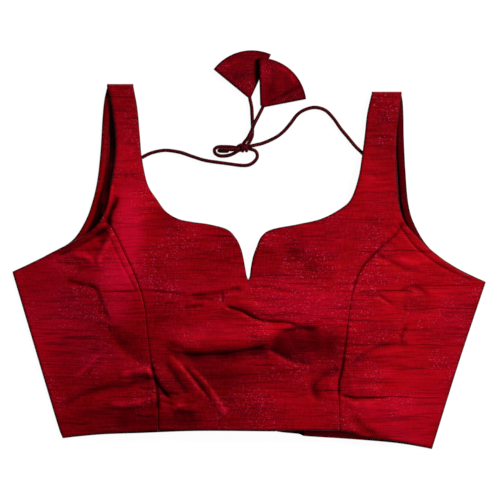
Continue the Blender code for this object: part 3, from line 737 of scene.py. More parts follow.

# %% [markdown]
# The princess seams were drawn tight when they were sewn, so they pull the middle of the front into short
# slanting folds: a fan of them and some gathers on the left, and one deep pinch on the right. A thin crack
# beside each seam shows where the cloth folds in under it; it is a trough with shade painted along it.

# %% The pulls beside the princess seams
CREASES += [
    Crease("pull_a", 1.5, 2.4, 5.0, -0.4, [(-81, -87), (-74, -95), (-66, -103.5), (-58, -114), (-47, -130)]),
    Crease("pull_gap", -1.3, 2.6, 2.2, 0.35, [(-67, -98), (-57.5, -108), (-47.5, -121), (-38, -133)]),
    Crease("pull_b", 1.6, 2.2, 5.0, -0.4, [(-61, -100), (-50, -110), (-42, -119), (-31, -135), (-21, -149)]),
    Crease("pull_shade", -1.6, 3, 5, 0.35, [(-86, -94), (-77, -105), (-69, -117), (-60, -130)]),
    Crease("seam_crack", -2.6, 1.9, 2.8, 0.85, [
        (-98.5, -97), (-95.6, -103), (-92.6, -113), (-88, -121), (-82, -128), (-76, -132)]),
    Crease("seam_crack_foot", -1.4, 1.8, 2.2, 0.6, [(-92, -124), (-91.4, -133), (-91.8, -143)]),
    Crease("gather_middle", -1.1, 1.3, 2.2, 0.5, [(-83.5, -124), (-76, -126.4), (-67, -128)]),
    Crease("gather_corner", -1.0, 1.3, 2.2, 0.5, [(-88.5, -134), (-80, -136), (-72.5, -140)]),
    Crease("pucker", 2.0, 3, 3, -0.5, [(-79, -143), (-71, -139), (-62, -139)]),
    Crease("pucker_shade", -1.5, 2.4, 5, 0.45, [(-80, -148), (-68, -145), (-52, -147)]),
    Crease("hem_hollow", -2.6, 8, 9, 0.25, [(-142, -154), (-100, -156), (-46, -155)]),
    Crease("pinch", -2.2, 4, 5, 0.5, [
        (91.5, -102.6), (81.2, -106.7), (71, -111.8), (64.6, -118), (65.4, -127), (70.5, -136)]),
    Crease("pinch_lip", 1.5, 5, 5, -0.3, [(75, -116), (82, -120), (88, -126)]),
    Crease("seam_crack_right", -1.5, 1.5, 1.5, 0.8, [(95, -90), (92.6, -103), (89.6, -113), (89, -130)]),
    Crease("neck_side", -1.9, 9, 14, 0.26, [(24, 14), (40, 11), (50, 3), (68, -7), (88, -12)]),
    Crease("low_middle", 1.0, 8, 8, -0.1, [(-20, -138), (10, -136), (40, -140)]),
]
print("creases with the pulls:", len(CREASES))

# %% [markdown]
# On the left side the armhole rolls over, and the shadow beside it comes partly from the roll's relief and
# partly from painted shade. From its foot a few soft folds fan out, one long line runs down to the seam, and
# low down the gathers of the seam fan out sideways.

# %% The creases of the left side
CREASES += [
    Crease("arm_hollow", -3.6, 2.2, 4.6, 1.3, [
        (-131, 71), (-133.6, 62), (-137.2, 54.6), (-139.4, 47), (-139, 36)]),
    Crease("arm_roll", 2.4, 1.8, 2.0, -0.35, [
        (-137.5, 84), (-140.4, 64), (-143.6, 50.6), (-150, 42), (-160, 34), (-176, 24.6), (-198, 13.6)]),
    Crease("under_roll", -2.8, 2.4, 4.0, 0.75, [
        (-139, 40), (-146, 35), (-158, 27.5), (-172, 19.5), (-194, 9)]),
    Crease("arm_fan", 2.2, 3, 3, -0.4, [(-136, 36), (-142, 22), (-148.5, 10), (-153, 0)]),
    Crease("arm_fan_gap", -1.8, 3, 4, 0.4, [(-143, 28), (-152, 18), (-166, 12)]),
    Crease("arm_fan_low", 1.7, 3, 3, -0.3, [(-180, 13), (-168, 10.6), (-159, 7), (-155, 0)]),
    Crease("side_fold_high", -1.3, 2, 3.4, 0.3, [(-196, 5), (-180, 3), (-164, 1)]),
    Crease("dimple", -2.4, 2.4, 3.6, 0.6, [
        (-184, -13), (-172, -17), (-160, -19), (-152.5, -23), (-149.5, -28)]),
    Crease("dimple_arc", -1.2, 2.0, 4.2, 0.5, [
        (-152, -22), (-149.5, -29), (-147.5, -36), (-143, -46), (-138.5, -56)]),
    Crease("long_diagonal", -1.3, 8, 4.5, 0.45, [
        (-141, -57), (-137.5, -65), (-130.5, -76), (-116.5, -90), (-100.5, -102)]),
    Crease("long_diagonal_lip", 0.3, 3, 7, -0.16, [(-139, -71), (-129, -80.5), (-113, -94), (-101, -103)]),
    Crease("spot", -1.4, 1.7, 1.7, 0.6, [(-149.3, -41), (-149.6, -50)]),
    Crease("spot_low", -1.3, 1.6, 1.6, 0.6, [(-141.4, -56), (-139, -66)]),
    Crease("spot_line", -1.0, 1.3, 1.6, 0.5, [(-154, -57), (-141, -57.6)]),
    Crease("fan_ridge", 2.3, 3.4, 4, -0.4, [(-92, -110), (-104, -104), (-118, -105), (-132, -111)]),
    Crease("fan_trough", -3.2, 4.6, 4, 0.6, [
        (-94, -111.5), (-113.7, -115.6), (-126.5, -120.7), (-147, -122.4), (-165, -127), (-188, -139)]),
    Crease("fan_low_ridge", 2.4, 3.6, 3.2, -0.35, [(-89, -127), (-101, -133.4), (-120, -137), (-142, -138)]),
    Crease("fan_low_trough", -2.4, 8, 3, 0.5, [
        (-88, -136), (-101, -141), (-120, -143.6), (-152, -145), (-178, -146)]),
    Crease("gather_top", -0.9, 1.3, 2.2, 0.45, [(-126.5, -111.5), (-112, -110), (-98.5, -110)]),
    Crease("gather_high", -1.0, 1.2, 2.0, 0.55, [(-112.5, -120), (-104, -121.4), (-96, -121)]),
    Crease("gather_low", -1.0, 1.2, 2.0, 0.5, [(-110, -137), (-101, -134), (-93.5, -131.5)]),
    Crease("gather_foot", -0.8, 1.2, 2.2, 0.4, [(-116, -147), (-104, -149.4), (-92.5, -148)]),
    Crease("light_diagonal", 1.5, 2.2, 2.2, -0.35, [(-176, -113), (-161, -99), (-151, -88)]),
    Crease("light_diagonal_gap", -1.1, 3, 2.6, 0.3, [(-169, -114), (-156, -101), (-147, -91)]),
]
print("creases with the left side:", len(CREASES))

# %% [markdown]
# The right side lies smoother. It has the seam's fan low down, a dimple under the arm, a few short marks,
# and one diagonal at the hem. The straps have a single ripple each, where they meet the bust.

# %% The creases of the right side and the straps
CREASES += [
    Crease("fan_right_high", -2.0, 2.2, 6, 0.4, [
        (96, -103), (103, -96), (112, -89), (125, -82), (142, -77.5), (160, -77)]),
    Crease("fan_right_ridge", 1.4, 5, 5, -0.15, [(96, -116), (118, -110), (148, -106)]),
    Crease("fan_right_low", -2.2, 1.6, 2.8, 0.7, [(90, -127.6), (98, -130), (109, -131.7), (136.5, -131)]),
    Crease("fan_right_low_ridge", 1.8, 4, 5, -0.2, [(93, -122), (108, -122), (132, -124)]),
    Crease("fan_right_foot", 1.6, 4, 5, -0.2, [(94, -136), (110, -139), (128, -139)]),
    Crease("hem_diagonal", -1.8, 4, 6, 0.4, [
        (100, -147), (106, -154), (116, -162.4), (126.3, -169), (144, -175)]),
    Crease("side_dimple", -2.0, 2.4, 5.5, 0.3, [
        (146.5, -31), (151, -26), (156.5, -23), (166.5, -21), (181.5, -31)]),
    Crease("side_upright", -2.2, 2, 3, 0.5, [(157.5, -57), (155, -63), (152, -69), (150, -78)]),
    Crease("side_mark", -1.0, 1.6, 2.0, 0.35, [(154.5, -37), (154.7, -46)]),
    Crease("side_mark_left", -1.1, 2, 2, 0.3, [(126, -26), (135, -33), (144, -39)]),
    Crease("arm_curve", -1.2, 2.4, 4.6, 0.3, [
        (126, 12), (133, 8.6), (143.5, 3.4), (157, -3.4), (171, -2.4)]),
    Crease("arm_curve_lip", 0.7, 3, 3, -0.12, [(146, 8), (160, 3.4), (172, 2)]),
    Crease("strap_left_ripple", -0.9, 3, 3, 0.15, [(-131, 88), (-120, 90), (-110, 86)]),
    Crease("strap_right_ripple", -0.9, 3, 3, 0.15, [(118, 92), (128, 89), (140, 92)]),
]
print("creases of the whole front:", len(CREASES))

# %% [markdown]
# Finer than the folds are the lines that pressing left in the cloth: where a facing or a seam allowance
# lies underneath, and where the blouse was once folded. They are thin and shallow, and mostly seen as a
# dark line.

# %% The pressed lines
# Their dark values paint shade along each pressed line.
PRESSED = [
    Crease("shoulder_seam", -0.7, 0.9, 0.9, 0.3, [(-141, 169.5), (-113, 168.5)]),
    Crease("facing_right", -0.9, 1.3, 1.7, 0.6, [
        (149, 43), (158.5, 28.4), (166.5, 19.2), (177, 10.6), (190, 1.6), (205, -6), (222, -13)]),
    Crease("press_left", -0.7, 0.9, 1.3, 0.6, [
        (-148, -25.2), (-120, -24.4), (-106, -23.4), (-82.5, -25.2), (-61, -26.8)]),
    Crease("press_right", -0.5, 0.9, 1.2, 0.35, [(104, -26.7), (128, -25.5), (155, -23.3)]),
    Crease("allowance_left", -0.6, 1.0, 1.6, 0.4, [(-142, 36), (-131, 12), (-121, -8), (-112, -24)]),
]
print("pressed lines:", len(PRESSED))

# %% [markdown]
# Light and shade are also painted over wider patches: shade where the cloth turns away or sinks, and light
# where raw silk shines as it turns towards the light. Each such patch is one row: how dark it is (less than
# nothing means lit), its middle and its half width and height. The finish reads the sum of them all as a
# mark of painted light and shade on each point.

# %% The broad patches of painted light and shade
Tone = namedtuple("Tone", "name dark x y half_x half_y")
PAINTED_PATCHES = [
    Tone("hollow", 0.68, 48, -80, 34, 15),
    Tone("hollow_right", 0.38, 84, -79, 13, 18),
    Tone("below_bust", 0.46, -46, -110, 52, 19),
    Tone("below_bust_right", 0.29, 14, -106, 44, 15),
    Tone("hem_left", 0.5, -126, -155, 50, 12),
    Tone("hem_middle_left", 0.3, -64, -152, 26, 14),
    Tone("under_arm", 0.7, -145, 33, 8, 5),
    Tone("diagonal_shade", 0.3, -116, -72, 18, 11),
    Tone("facet_low", -0.35, -132, -44, 11, 15),
    Tone("facet", -0.85, -131, -8.5, 17, 15),
    Tone("strap_foot_left", -0.85, -119, 37, 12, 32),
    Tone("strap_right", 0.35, 133, 132, 24, 60),
    Tone("strap_left", -0.08, -126, 120, 22, 44),
    Tone("pinch", 0.25, 68, -124, 9, 12),
    Tone("bust_left_lit", -0.15, -40, -66, 50, 8),
    Tone("cup_right_lit", -0.3, 62, -42, 40, 18),
    Tone("side_left_lit", -0.26, -190, -52, 46, 40),
    Tone("side_left_lit_low", -0.22, -152, -92, 30, 14),
    Tone("side_right_lit", -0.24, 148, -138, 46, 24),
    Tone("shoulder_right_lit", -0.1, 96, 20, 40, 34),
    Tone("neck_left", 0.1, -62, 14, 40, 24),
    Tone("neck_turn_left", 0.42, -80, 48, 17, 13),
    Tone("neck_fold_right", 0.28, 98, 7, 14, 12),
    Tone("under_notch_lit", -0.2, 31, -19, 26, 13),
    Tone("bust_left_top_lit", -0.2, -73, -21, 44, 9),
    Tone("below_notch", 0.14, 1, -29, 10, 7),
    Tone("seam_foot_left", 0.34, -84, -124, 18, 9),
    Tone("bust_edge_left", 0.24, -82, -91, 13, 7),
    Tone("hem_edge_left", 0.45, -104, -169, 34, 8),
    Tone("hem_lit_left", -0.22, -131, -144, 22, 6),
    Tone("under_arm_lit_left", -0.32, -189, 3, 15, 9),
    Tone("side_right_shade", 0.3, 128, -62, 22, 9),
    Tone("side_right_hollows", 0.24, 165, -38, 13, 17),
    Tone("side_right_edge_lit", -0.2, 203, -52, 17, 28),
    Tone("fan_right_shade", 0.16, 139, -119, 26, 9),
    Tone("hem_right_lit", -0.35, 150, -173, 24, 8),
]
SEAM_PAINTED_SHADE_WIDTH = 1.1
PAINTED_SHADING_LIMITS = (-0.6, 0.95)
print("tones:", len(PAINTED_PATCHES))

# %% [markdown]
# To shape the cloth beside a line, each point needs three things: how far it is from the line, on which
# side of it, and how far along, so that the ends can fade.

# %% A crease's effect on a point
LINE_STEP = 3.0
END_FADE = 2.5
END_FADE_WIDTHS = 0.8
SHADE_SPREAD = 0.8
CREASE_UNEVEN = 0.12


def beside_route(x, y, route):
    """Each point's distance to the line, +1 or -1 for the line's left or right, and the part along it."""
    line = smooth_curve(route, LINE_STEP)
    steps = np.linalg.norm(np.diff(line, axis=0), axis=1)
    travelled = np.concatenate([[0], np.cumsum(steps)])
    nearest = np.full(np.shape(x), np.inf)
    side = np.ones(np.shape(x))
    part = np.zeros(np.shape(x))
    for k, (start, end) in enumerate(zip(line, line[1:])):
        away, t = from_stretch(x, y, start, end)
        turn = np.sign((end[0] - start[0]) * (y - start[1]) - (end[1] - start[1]) * (x - start[0]))
        nearer = away < nearest
        nearest = np.where(nearer, away, nearest)
        side = np.where(nearer, turn, side)
        part = np.where(nearer, (travelled[k] + t * steps[k]) / travelled[-1], part)
    return nearest, side, part


def crease_marks(creases, x, y):
    """How far the creases move the cloth up or down at each point, and how much shade or light they paint.

    A crease fades out over its last few millimetres, and a wide one over more of them.
    """
    relief, painted_shading = np.zeros(len(x)), np.zeros(len(x))
    for crease in creases:
        reach = 3 * max(crease.left, crease.right)
        corners = np.array(crease.route)
        low, high = corners.min(axis=0) - reach, corners.max(axis=0) + reach
        near = (x > low[0]) & (x < high[0]) & (y > low[1]) & (y < high[1])
        if near.any():
            away, side, part = beside_route(x[near], y[near], crease.route)
            width = np.where(side > 0, crease.left, crease.right)
            length = length_of(smooth_curve(crease.route, LINE_STEP))
            fade = min(0.5, (END_FADE + END_FADE_WIDTHS * (crease.left + crease.right)) / length)
            along = smooth_step((-0.02, fade), part) * smooth_step((-0.02, fade), 1 - part)
            along *= 1 - CREASE_UNEVEN + CREASE_UNEVEN * np.sin(19 * part + 5 * crease.height)
            relief[near] += crease.height * fade_out(away, width) * along
            # The painted shade along the crease, or painted light where its dark value is below nothing
            painted_shading[near] += crease.dark * fade_out(away / width, SHADE_SPREAD) * along
    return relief, painted_shading


# %% [markdown]
# Sewing draws the cloth in. Beside each princess seam there is a narrow groove, and little puckers run out
# from it at uneven spacing. Two noises, both stretched across the cloth, add the faint unevenness that raw
# silk keeps even when it is pressed.

# %% Seam grooves, puckers and the cloth's own unevenness
# A groove's least depth, how much deeper it is where it is dark, and its half width
SEAM_GROOVE = (-0.25, -0.65, 1.3)
SEAM_SHADES = [
    # How much shade is painted along each princess seam at a height on the cloth, from the hem up
    (PRINCESS_LEFT, [(-163, 0.1), (-140, 0.3), (-128, 0.6), (-104, 0.6), (-92, 0.25), (-60, 0.2), (-28, 0.2),
                     (-12, 0.6), (14, 0.7), (26, 0.3), (50, 0.1)]),
    (PRINCESS_RIGHT, [(-163, 0.2), (-134, 0.2), (-124, 0.7), (-108, 0.85), (-96, 0.6), (-62, 0.55),
                      (-50, 0.1), (-30, 0.1), (-14, 0.6), (10, 0.85), (24, 0.55), (45, 0.2)]),
]
# A pucker's height, its reach from the seam and the spacing along it
PUCKER = (0.32, 6.5, 7.0)
SIDE_SEAM_FINE = 0.25
RIPPLES = [(0.5, (40, 17)), (0.26, (16, 6.5))]


def seam_shade(shades, y):
    heights, darks = zip(*shades)
    return np.interp(y, heights, darks)


def seam_relief(x, y):
    relief = np.zeros(np.shape(x))
    for number, (seam, shades) in enumerate(SEAM_SHADES):
        away, _, part = beside_route(x, y, seam)
        along = part * length_of(smooth_curve(seam, LINE_STEP))
        least, more, half_width = SEAM_GROOVE
        relief += (least + more * seam_shade(shades, y)) * fade_out(away, half_width)
        height, reach, spacing = PUCKER
        wave = np.sin(2 * math.pi * along / spacing + 1.7 * np.sin(along / 11 + number))
        strength = 0.55 + 0.45 * np.sin(along / 23 + 2 * number)
        relief += height * strength * wave * np.exp(-away / reach)
    return relief


def unevenness(x, y):
    relief = np.zeros(np.shape(x))
    for number, (height, (wide, tall)) in enumerate(RIPPLES):
        relief += height * np.array([
            noise.noise(Vector((px / wide, py / tall, 3.7 * number))) for px, py in zip(x, y)
        ])
    return relief


def front_height(x, y):
    """The middle of the front's cloth above the table."""
    relief = np.full(np.shape(x), FRONT_AIR)
    for mound in MOUNDS:
        away = ((x - mound.x) / mound.half_x) ** 2 + ((y - mound.y) / mound.half_y) ** 2
        relief += mound.height * np.exp(-away)
    relief += crease_marks(CREASES, x, y)[0]
    height = SIDE_SEAM_Z + relief * side_air(x, y)
    on_strap = smooth_step(STRAP_SETTLES, y)
    height = height * (1 - on_strap) + STRAP_Z * on_strap
    fine = seam_relief(x, y) + unevenness(x, y)
    fine += crease_marks(PRESSED, x, y)[0]
    return height + fine * (SIDE_SEAM_FINE + (1 - SIDE_SEAM_FINE) * side_air(x, y))


# Adds up the painted light and shade of the patches
def painted_patch_sum(tones, x, y):
    total = np.zeros(len(x))
    for painted_shading in tones:
        total += painted_shading.dark * np.exp(-(((x - painted_shading.x) / painted_shading.half_x) ** 2) - ((y - painted_shading.y) / painted_shading.half_y) ** 2)
    return total


def front_painted_shading(x, y):
    """How much shade is painted on the front's cloth at each point, or how much light if less than nothing.
    """
    painted_shading = painted_patch_sum(PAINTED_PATCHES, x, y) + crease_marks(CREASES, x, y)[1] + crease_marks(PRESSED, x, y)[1]
    for seam, shades in SEAM_SHADES:
        away = distance_to_route(x, y, smooth_curve(seam, LINE_STEP))
        # Painted shade along the princess seams
        painted_shading += seam_shade(shades, y) * fade_out(away, SEAM_PAINTED_SHADE_WIDTH)
    return np.clip(painted_shading, *PAINTED_SHADING_LIMITS)


middle = front_height(np.array([0.0]), np.array([-60.0]))
print("front stands", round(float(middle[0]), 1), "mm high in the middle")

# %% [markdown]
# A panel is made the way it is cut: the outline is filled with small triangles while it is still flat, and
# each point is then raised to its height. Blender's constrained triangulation keeps the outline exactly and
# accepts a regular grid of points inside it, which gives even triangles and smooth folds.

# %% Filling an outline with even triangles
FRONT_PITCH = 1.2
BACK_PITCH = 2.0
SHOULDER_RADIUS = (STRAP_Z - CLOTH / 2) / 2
SHOULDER_ROWS = 7
CLEAR_OF_EDGE = 0.6


def shifted(curve, distance):
    """The curve moved sideways, to the left of its direction."""
    along = np.gradient(curve, axis=0)
    along /= np.linalg.norm(along, axis=1)[:, None]
    return curve + distance * np.column_stack([-along[:, 1], along[:, 0]])


def inside_outline(points, outline):
    x, y = points[:, 0], points[:, 1]
    inside = np.zeros(len(points), bool)
    for (x0, y0), (x1, y1) in zip(outline, np.roll(outline, -1, axis=0)):
        if y0 != y1:
            inside ^= ((y0 > y) != (y1 > y)) & (x < x0 + (y - y0) * (x1 - x0) / (y1 - y0))
    return inside


def fold_line(strap):
    """Where the strap starts to turn over its shoulder."""
    return strap.top - SHOULDER_RADIUS - CLOTH / 2


def grid_inside(outline, pitch):
    """A triangular grid of points inside the outline, clear of its edge and of the shoulders."""
    low, high = outline.min(axis=0), outline.max(axis=0)
    rows = []
    for number, y in enumerate(np.arange(low[1] + pitch / 2, high[1], pitch * math.sqrt(3) / 2)):
        x = np.arange(low[0] + pitch * (0.5 if number % 2 else 1.0), high[0], pitch)
        rows.append(np.column_stack([x, np.full(len(x), y)]))
    grid = np.vstack(rows)
    top = np.where(grid[:, 0] < 0, fold_line(LEFT_STRAP), fold_line(RIGHT_STRAP))
    grid = grid[inside_outline(grid, outline) & (grid[:, 1] < top - pitch / 3)]
    closed = np.vstack([outline, outline[:1]])
    return grid[distance_to_route(grid[:, 0], grid[:, 1], closed) > CLEAR_OF_EDGE * pitch]


# %% [markdown]
# At the shoulder the strap turns over: the front goes down and the back comes up to meet it. The cut runs
# on past the fold line, and what lies past it is bent round a quarter turn.

# %% Turning the straps over the shoulder


def below_fold(curve, strap, pitch):
    return curve[curve[:, 1] < fold_line(strap) - pitch / 3]


def shoulder_rows(strap, first, last, pitch):
    """Rows of points across the strap's cut, from the fold to the shoulder seam, each from first to last."""
    arc = SHOULDER_RADIUS * math.pi / 2 - SEAM_GAP
    across = np.linspace(first, last, round(abs(last - first) / pitch) + 1)
    parts = np.linspace(0, 1, SHOULDER_ROWS)
    return [[(x, fold_line(strap) + arc * part) for x in across] for part in parts]


def strap_edge(strap, first, last, pitch):
    """The cut edge round the strap's end: up one side, across the shoulder seam and down the other."""
    rows = shoulder_rows(strap, first, last, pitch)
    return np.array([row[0] for row in rows[:-1]] + rows[-1] + [row[-1] for row in rows[-2::-1]])


def strap_inside(strap, pitch):
    rows = shoulder_rows(strap, strap.inner, strap.outer, pitch)
    return [point for row in rows[:-1] for point in row[1:-1]]


def turn_over_shoulder(points, strap, way):
    """Bends the cut past the fold round a quarter turn: down from the front (-1), up from the back (+1)."""
    past = (np.sign(points[:, 0]) == np.sign(strap.inner)) & (points[:, 1] > fold_line(strap))
    angle = (points[past, 1] - fold_line(strap)) / SHOULDER_RADIUS
    points[past, 1] = fold_line(strap) + SHOULDER_RADIUS * np.sin(angle)
    points[past, 2] += way * SHOULDER_RADIUS * (1 - np.cos(angle))


# %% [markdown]
# Every piece of cloth is a sheet of points that gets its marks, its two finishes and its thickness. A mark
# is a value on each point, such as painted shade or painted light, which the finish reads to darken or
# brighten the colour there. The thickness is a modifier that makes a closed wall of the sheet, with the
# first finish above and the second below.


# %% A piece of cloth
def cloth_piece(name, points, faces, finishes, marks, thickness):
    """Cloth on points in millimetres, with named marks for the finishes to read and a wall round them."""
    mesh = bpy.data.meshes.new(name)
    mesh.from_pydata((points * MM).tolist(), [], faces)
    for mark, values in marks.items():
        mesh.attributes.new(mark, "FLOAT", "POINT").data.foreach_set("value", values)
    piece = lay_out(mesh, *finishes)
    wall = piece.modifiers.new("cloth", "SOLIDIFY")
    wall.thickness = thickness * MM
    wall.offset = 0
    wall.material_offset = 1
    return piece


# %% [markdown]
# The cut edges of silk are turned under, so each free edge is a narrow roll: the cloth dips over the last
# millimetre and is darker there, partly from the dip and partly from painted shade. The distance to the
# outline gives both, as a dip in the height and as an `edge` value on each point, which the finish reads
# as painted shade.

# %% Sewing a panel
# How deep and how wide the rolled edge dips, how dark and how wide its painted shade is, and where it
# begins, because an edge that is sewn into a princess seam isn't rolled
EDGE_DIP = (0.7, 1.1)
EDGE_SHADE = (0.95, 1.5)
SEAM_CLEAR = (0.5, 2.5)
CUTS = {}


def measured_cut(outline):
    """The width, length and area of a flat cut, in metres."""
    x, y = (outline * MM).T
    area = abs(np.dot(x, np.roll(y, 1)) - np.dot(y, np.roll(x, 1))) / 2
    return float(np.ptp(x)), float(np.ptp(y)), float(area)


def sew_panel(name, outline, inner, height, finishes, thickness=CLOTH, shoulder_way=0, painted_shading=None,
              dip=EDGE_DIP[0]):
    """A panel from its flat cut: triangles, then its height, then its thickness.

    The first of the two finishes faces up.
    """
    edges = [(i, (i + 1) % len(outline)) for i in range(len(outline))]
    cut = [Vector(point) for point in np.vstack([outline, inner])]
    flat, _, faces, _, _, _ = delaunay_2d_cdt(cut, edges, [], 1, 1e-5)
    flat = np.array([tuple(point) for point in flat])
    x, y = flat[:, 0], flat[:, 1]
    away = distance_to_route(x, y, np.vstack([outline, outline[:1]]))
    seams = [smooth_curve(seam, LINE_STEP) for seam, _ in SEAM_SHADES]
    free = smooth_step(SEAM_CLEAR, np.minimum(*[distance_to_route(x, y, seam) for seam in seams]))
    points = np.column_stack([flat, height(x, y) - dip * free * fade_out(away, EDGE_DIP[1])])
    if shoulder_way:
        for strap in (LEFT_STRAP, RIGHT_STRAP):
            turn_over_shoulder(points, strap, shoulder_way)
    # Painted shade along the free edges, and none where an edge is sewn into a princess seam; then the
    # painted light and shade, where the panel has any
    marks = {"edge": EDGE_SHADE[0] * free * fade_out(away, EDGE_SHADE[1])}
    if painted_shading:
        marks["painted_shading"] = painted_shading(x, y)
    CUTS[name] = measured_cut(outline)
    cut_size = [round(size, 4) for size in CUTS[name]]
    print(name, "has", len(faces), "triangles a side, and its width, length and area are", cut_size)
    return cloth_piece(name, points, faces, finishes, marks, thickness)


def edge(points, pitch=FRONT_PITCH):
    return smooth_curve(points, pitch)


def back_to_front(points, pitch=FRONT_PITCH):
    return edge(points, pitch)[::-1]


# %% [markdown]
# The front's middle is cut in one with both straps. Its neckline is a sweetheart with a narrow notch, so
# both halves of the neck run down to one sharp point in the middle.

# %% The front's middle
SEAM_SLIT = 0.12


def sew_front_centre():
    outline = np.vstack([
        below_fold(edge(NECK_LEFT), LEFT_STRAP, FRONT_PITCH)[:-1],
        below_fold(back_to_front(NECK_RIGHT), RIGHT_STRAP, FRONT_PITCH),
        strap_edge(RIGHT_STRAP, RIGHT_STRAP.inner, RIGHT_STRAP.outer, FRONT_PITCH),
        below_fold(edge(ARM_RIGHT), RIGHT_STRAP, FRONT_PITCH)[:-1],
        shifted(edge(PRINCESS_RIGHT), -SEAM_SLIT / 2),
        back_to_front(HEM_CENTRE)[1:-1],
        shifted(edge(PRINCESS_LEFT), SEAM_SLIT / 2)[::-1],
        below_fold(back_to_front(ARM_LEFT), LEFT_STRAP, FRONT_PITCH)[1:],
        strap_edge(LEFT_STRAP, LEFT_STRAP.outer, LEFT_STRAP.inner, FRONT_PITCH),
    ])
    inner = np.vstack([grid_inside(outline, FRONT_PITCH), strap_inside(LEFT_STRAP, FRONT_PITCH),
                       strap_inside(RIGHT_STRAP, FRONT_PITCH)])
    return sew_panel("silk_front_centre", outline, inner, front_height, (silk, lining), shoulder_way=-1,
                     painted_shading=front_painted_shading)


front_centre = dress(sew_front_centre(), "silk_front", "front_centre")

# %% [markdown]
# The side fronts run from the princess seams to the side seams. A princess seam takes the place of a dart:
# it curves from the armhole over the fullest part of the bust to the hem.


# %% The side fronts
def sew_front_sides():
    left = np.vstack([
        edge(ARM_LEFT_LOW)[1:-1],
        edge(SIDE_LEFT),
        edge(HEM_LEFT)[1:-1],
        shifted(edge(PRINCESS_LEFT), -SEAM_SLIT / 2)[::-1],
    ])
    right = np.vstack([
        edge(ARM_RIGHT_LOW)[1:-1],
        edge(SIDE_RIGHT),
        back_to_front(HEM_RIGHT)[1:-1],
        shifted(edge(PRINCESS_RIGHT), SEAM_SLIT / 2)[::-1],
    ])
    sides = []
    for name, outline in (("silk_front_side_left", left), ("silk_front_side_right", right)):
        inner = grid_inside(outline, FRONT_PITCH)
        sides.append(sew_panel(name, outline, inner, front_height, (silk, lining), painted_shading=front_painted_shading))
    return sides


side_left, side_right = sew_front_sides()
dress(side_left, "silk_side", "front_side_left")
dress(side_right, "silk_side", "front_side_right")

# %% [markdown]
# The two backs lie flat on the table with their lining up. The right one's edge rides up over the hook
# strip. Little of them shows, so their triangles can be larger. What does show, inside the armholes and
# along the hem, gets its own marks of painted light and shade: a strip of painted shade beside the front,
# maroon strips of painted light in it, and painted light along the hem.

# %% The backs
OVERLAP_RAMP = (72, 88)


def back_height(x, y):
    """The middle of the back's cloth: flat on the table, but for the right edge, over the hook strip."""
    over_strip = np.where(x > OPENING_LEFT + 1, 1 - smooth_step(OVERLAP_RAMP, x), 0)
    return CLOTH / 2 + (CLOTH + SEAM_GAP) * over_strip


# Painted light and shade on the lining that shows: light along the hem and in the maroon strips, shade beside
# the facing, under the front and low in the armhole
BACK_PAINTED_PATCHES = [
    Tone("lit_hem", -0.95, 84, -171, 42, 6),
]
BACK_MARKS = [
    Crease("facing_shade", 0, 1.6, 2.2, 0.9, [(-139, 176), (-138.6, 160), (-138, 140), (-137.6, 118)]),
    Crease("front_shade", 0, 3, 3, 0.9, [(-134.6, 150), (-134.4, 130), (-134.8, 112)]),
    Crease("maroon", 0, 1.5, 1.6, -0.9, [
        (-140, 136), (-140.6, 118), (-142, 100), (-144.8, 80), (-149, 60), (-153, 48)]),
    Crease("painted_light_inner", 0, 1.3, 1.6, -0.8, [(-137.6, 106), (-138.4, 96)]),
    Crease("painted_light_low", 0, 1.8, 2, -0.8, [(-142, 76), (-145.6, 60), (-148.4, 50)]),
    Crease("shade_low", 0, 2, 2, 0.9, [(-146.6, 66), (-149.6, 52), (-155, 40), (-162, 32)]),
]


# The painted light and shade on the backs' lining
def back_painted_shading(x, y):
    painted_shading = painted_patch_sum(BACK_PAINTED_PATCHES, x, y) + crease_marks(BACK_MARKS, x, y)[1]
    return np.clip(painted_shading, -1, PAINTED_SHADING_LIMITS[1])


def sew_backs():
    left_edge = OPENING_LEFT - SEAM_GAP / 2
    left = np.vstack([
        below_fold(edge(BACK_ARM_LEFT, BACK_PITCH), LEFT_STRAP, BACK_PITCH)[:-1],
        edge(SIDE_LEFT, BACK_PITCH),
        edge(BACK_HEM_LEFT, BACK_PITCH)[1:-1],
        [(left_edge, BACK_HEM_LEFT[-1][1]), (left_edge, BACK_NECK_LEFT[-1][1])],
        below_fold(back_to_front(BACK_NECK_LEFT, BACK_PITCH), LEFT_STRAP, BACK_PITCH)[1:],
        strap_edge(LEFT_STRAP, LEFT_STRAP.inner, LEFT_STRAP.outer, BACK_PITCH),
    ])
    right = np.vstack([
        below_fold(edge(BACK_ARM_RIGHT, BACK_PITCH), RIGHT_STRAP, BACK_PITCH)[:-1],
        edge(SIDE_RIGHT, BACK_PITCH),
        back_to_front(BACK_HEM_RIGHT, BACK_PITCH)[1:],
        below_fold(back_to_front(BACK_NECK_RIGHT, BACK_PITCH), RIGHT_STRAP, BACK_PITCH),
        strap_edge(RIGHT_STRAP, RIGHT_STRAP.inner, RIGHT_STRAP.outer, BACK_PITCH),
    ])
    backs = []
    for side, outline, strap in (("left", left, LEFT_STRAP), ("right", right, RIGHT_STRAP)):
        name = "silk_back_" + side
        inner = np.vstack([grid_inside(outline, BACK_PITCH), strap_inside(strap, BACK_PITCH)])
        backs.append(sew_panel(name, outline, inner, back_height, (lining, silk), shoulder_way=1,
                               painted_shading=back_painted_shading, dip=0))
    return backs


back_left, back_right = sew_backs()
dress(back_left, "back_lining", "back_left")
dress(back_right, "back_lining", "back_right")

# %% [markdown]
# A bright facing is turned in along each back armhole and lies on the lining. It is a bias strip, so it
# sits slightly crowned, and it is stitched along its inner edge.

# %% The armhole facings
BAND_WIDTH = 7.0
BAND_CLOTH = 1.0
BAND_PRESSED = 0.7
BAND_ROWS = (0, 0.2, 0.4, 0.6, 0.8, 1)
BAND_TOP = 172.0
BAND_SHORT_OF_SIDE = 34.0
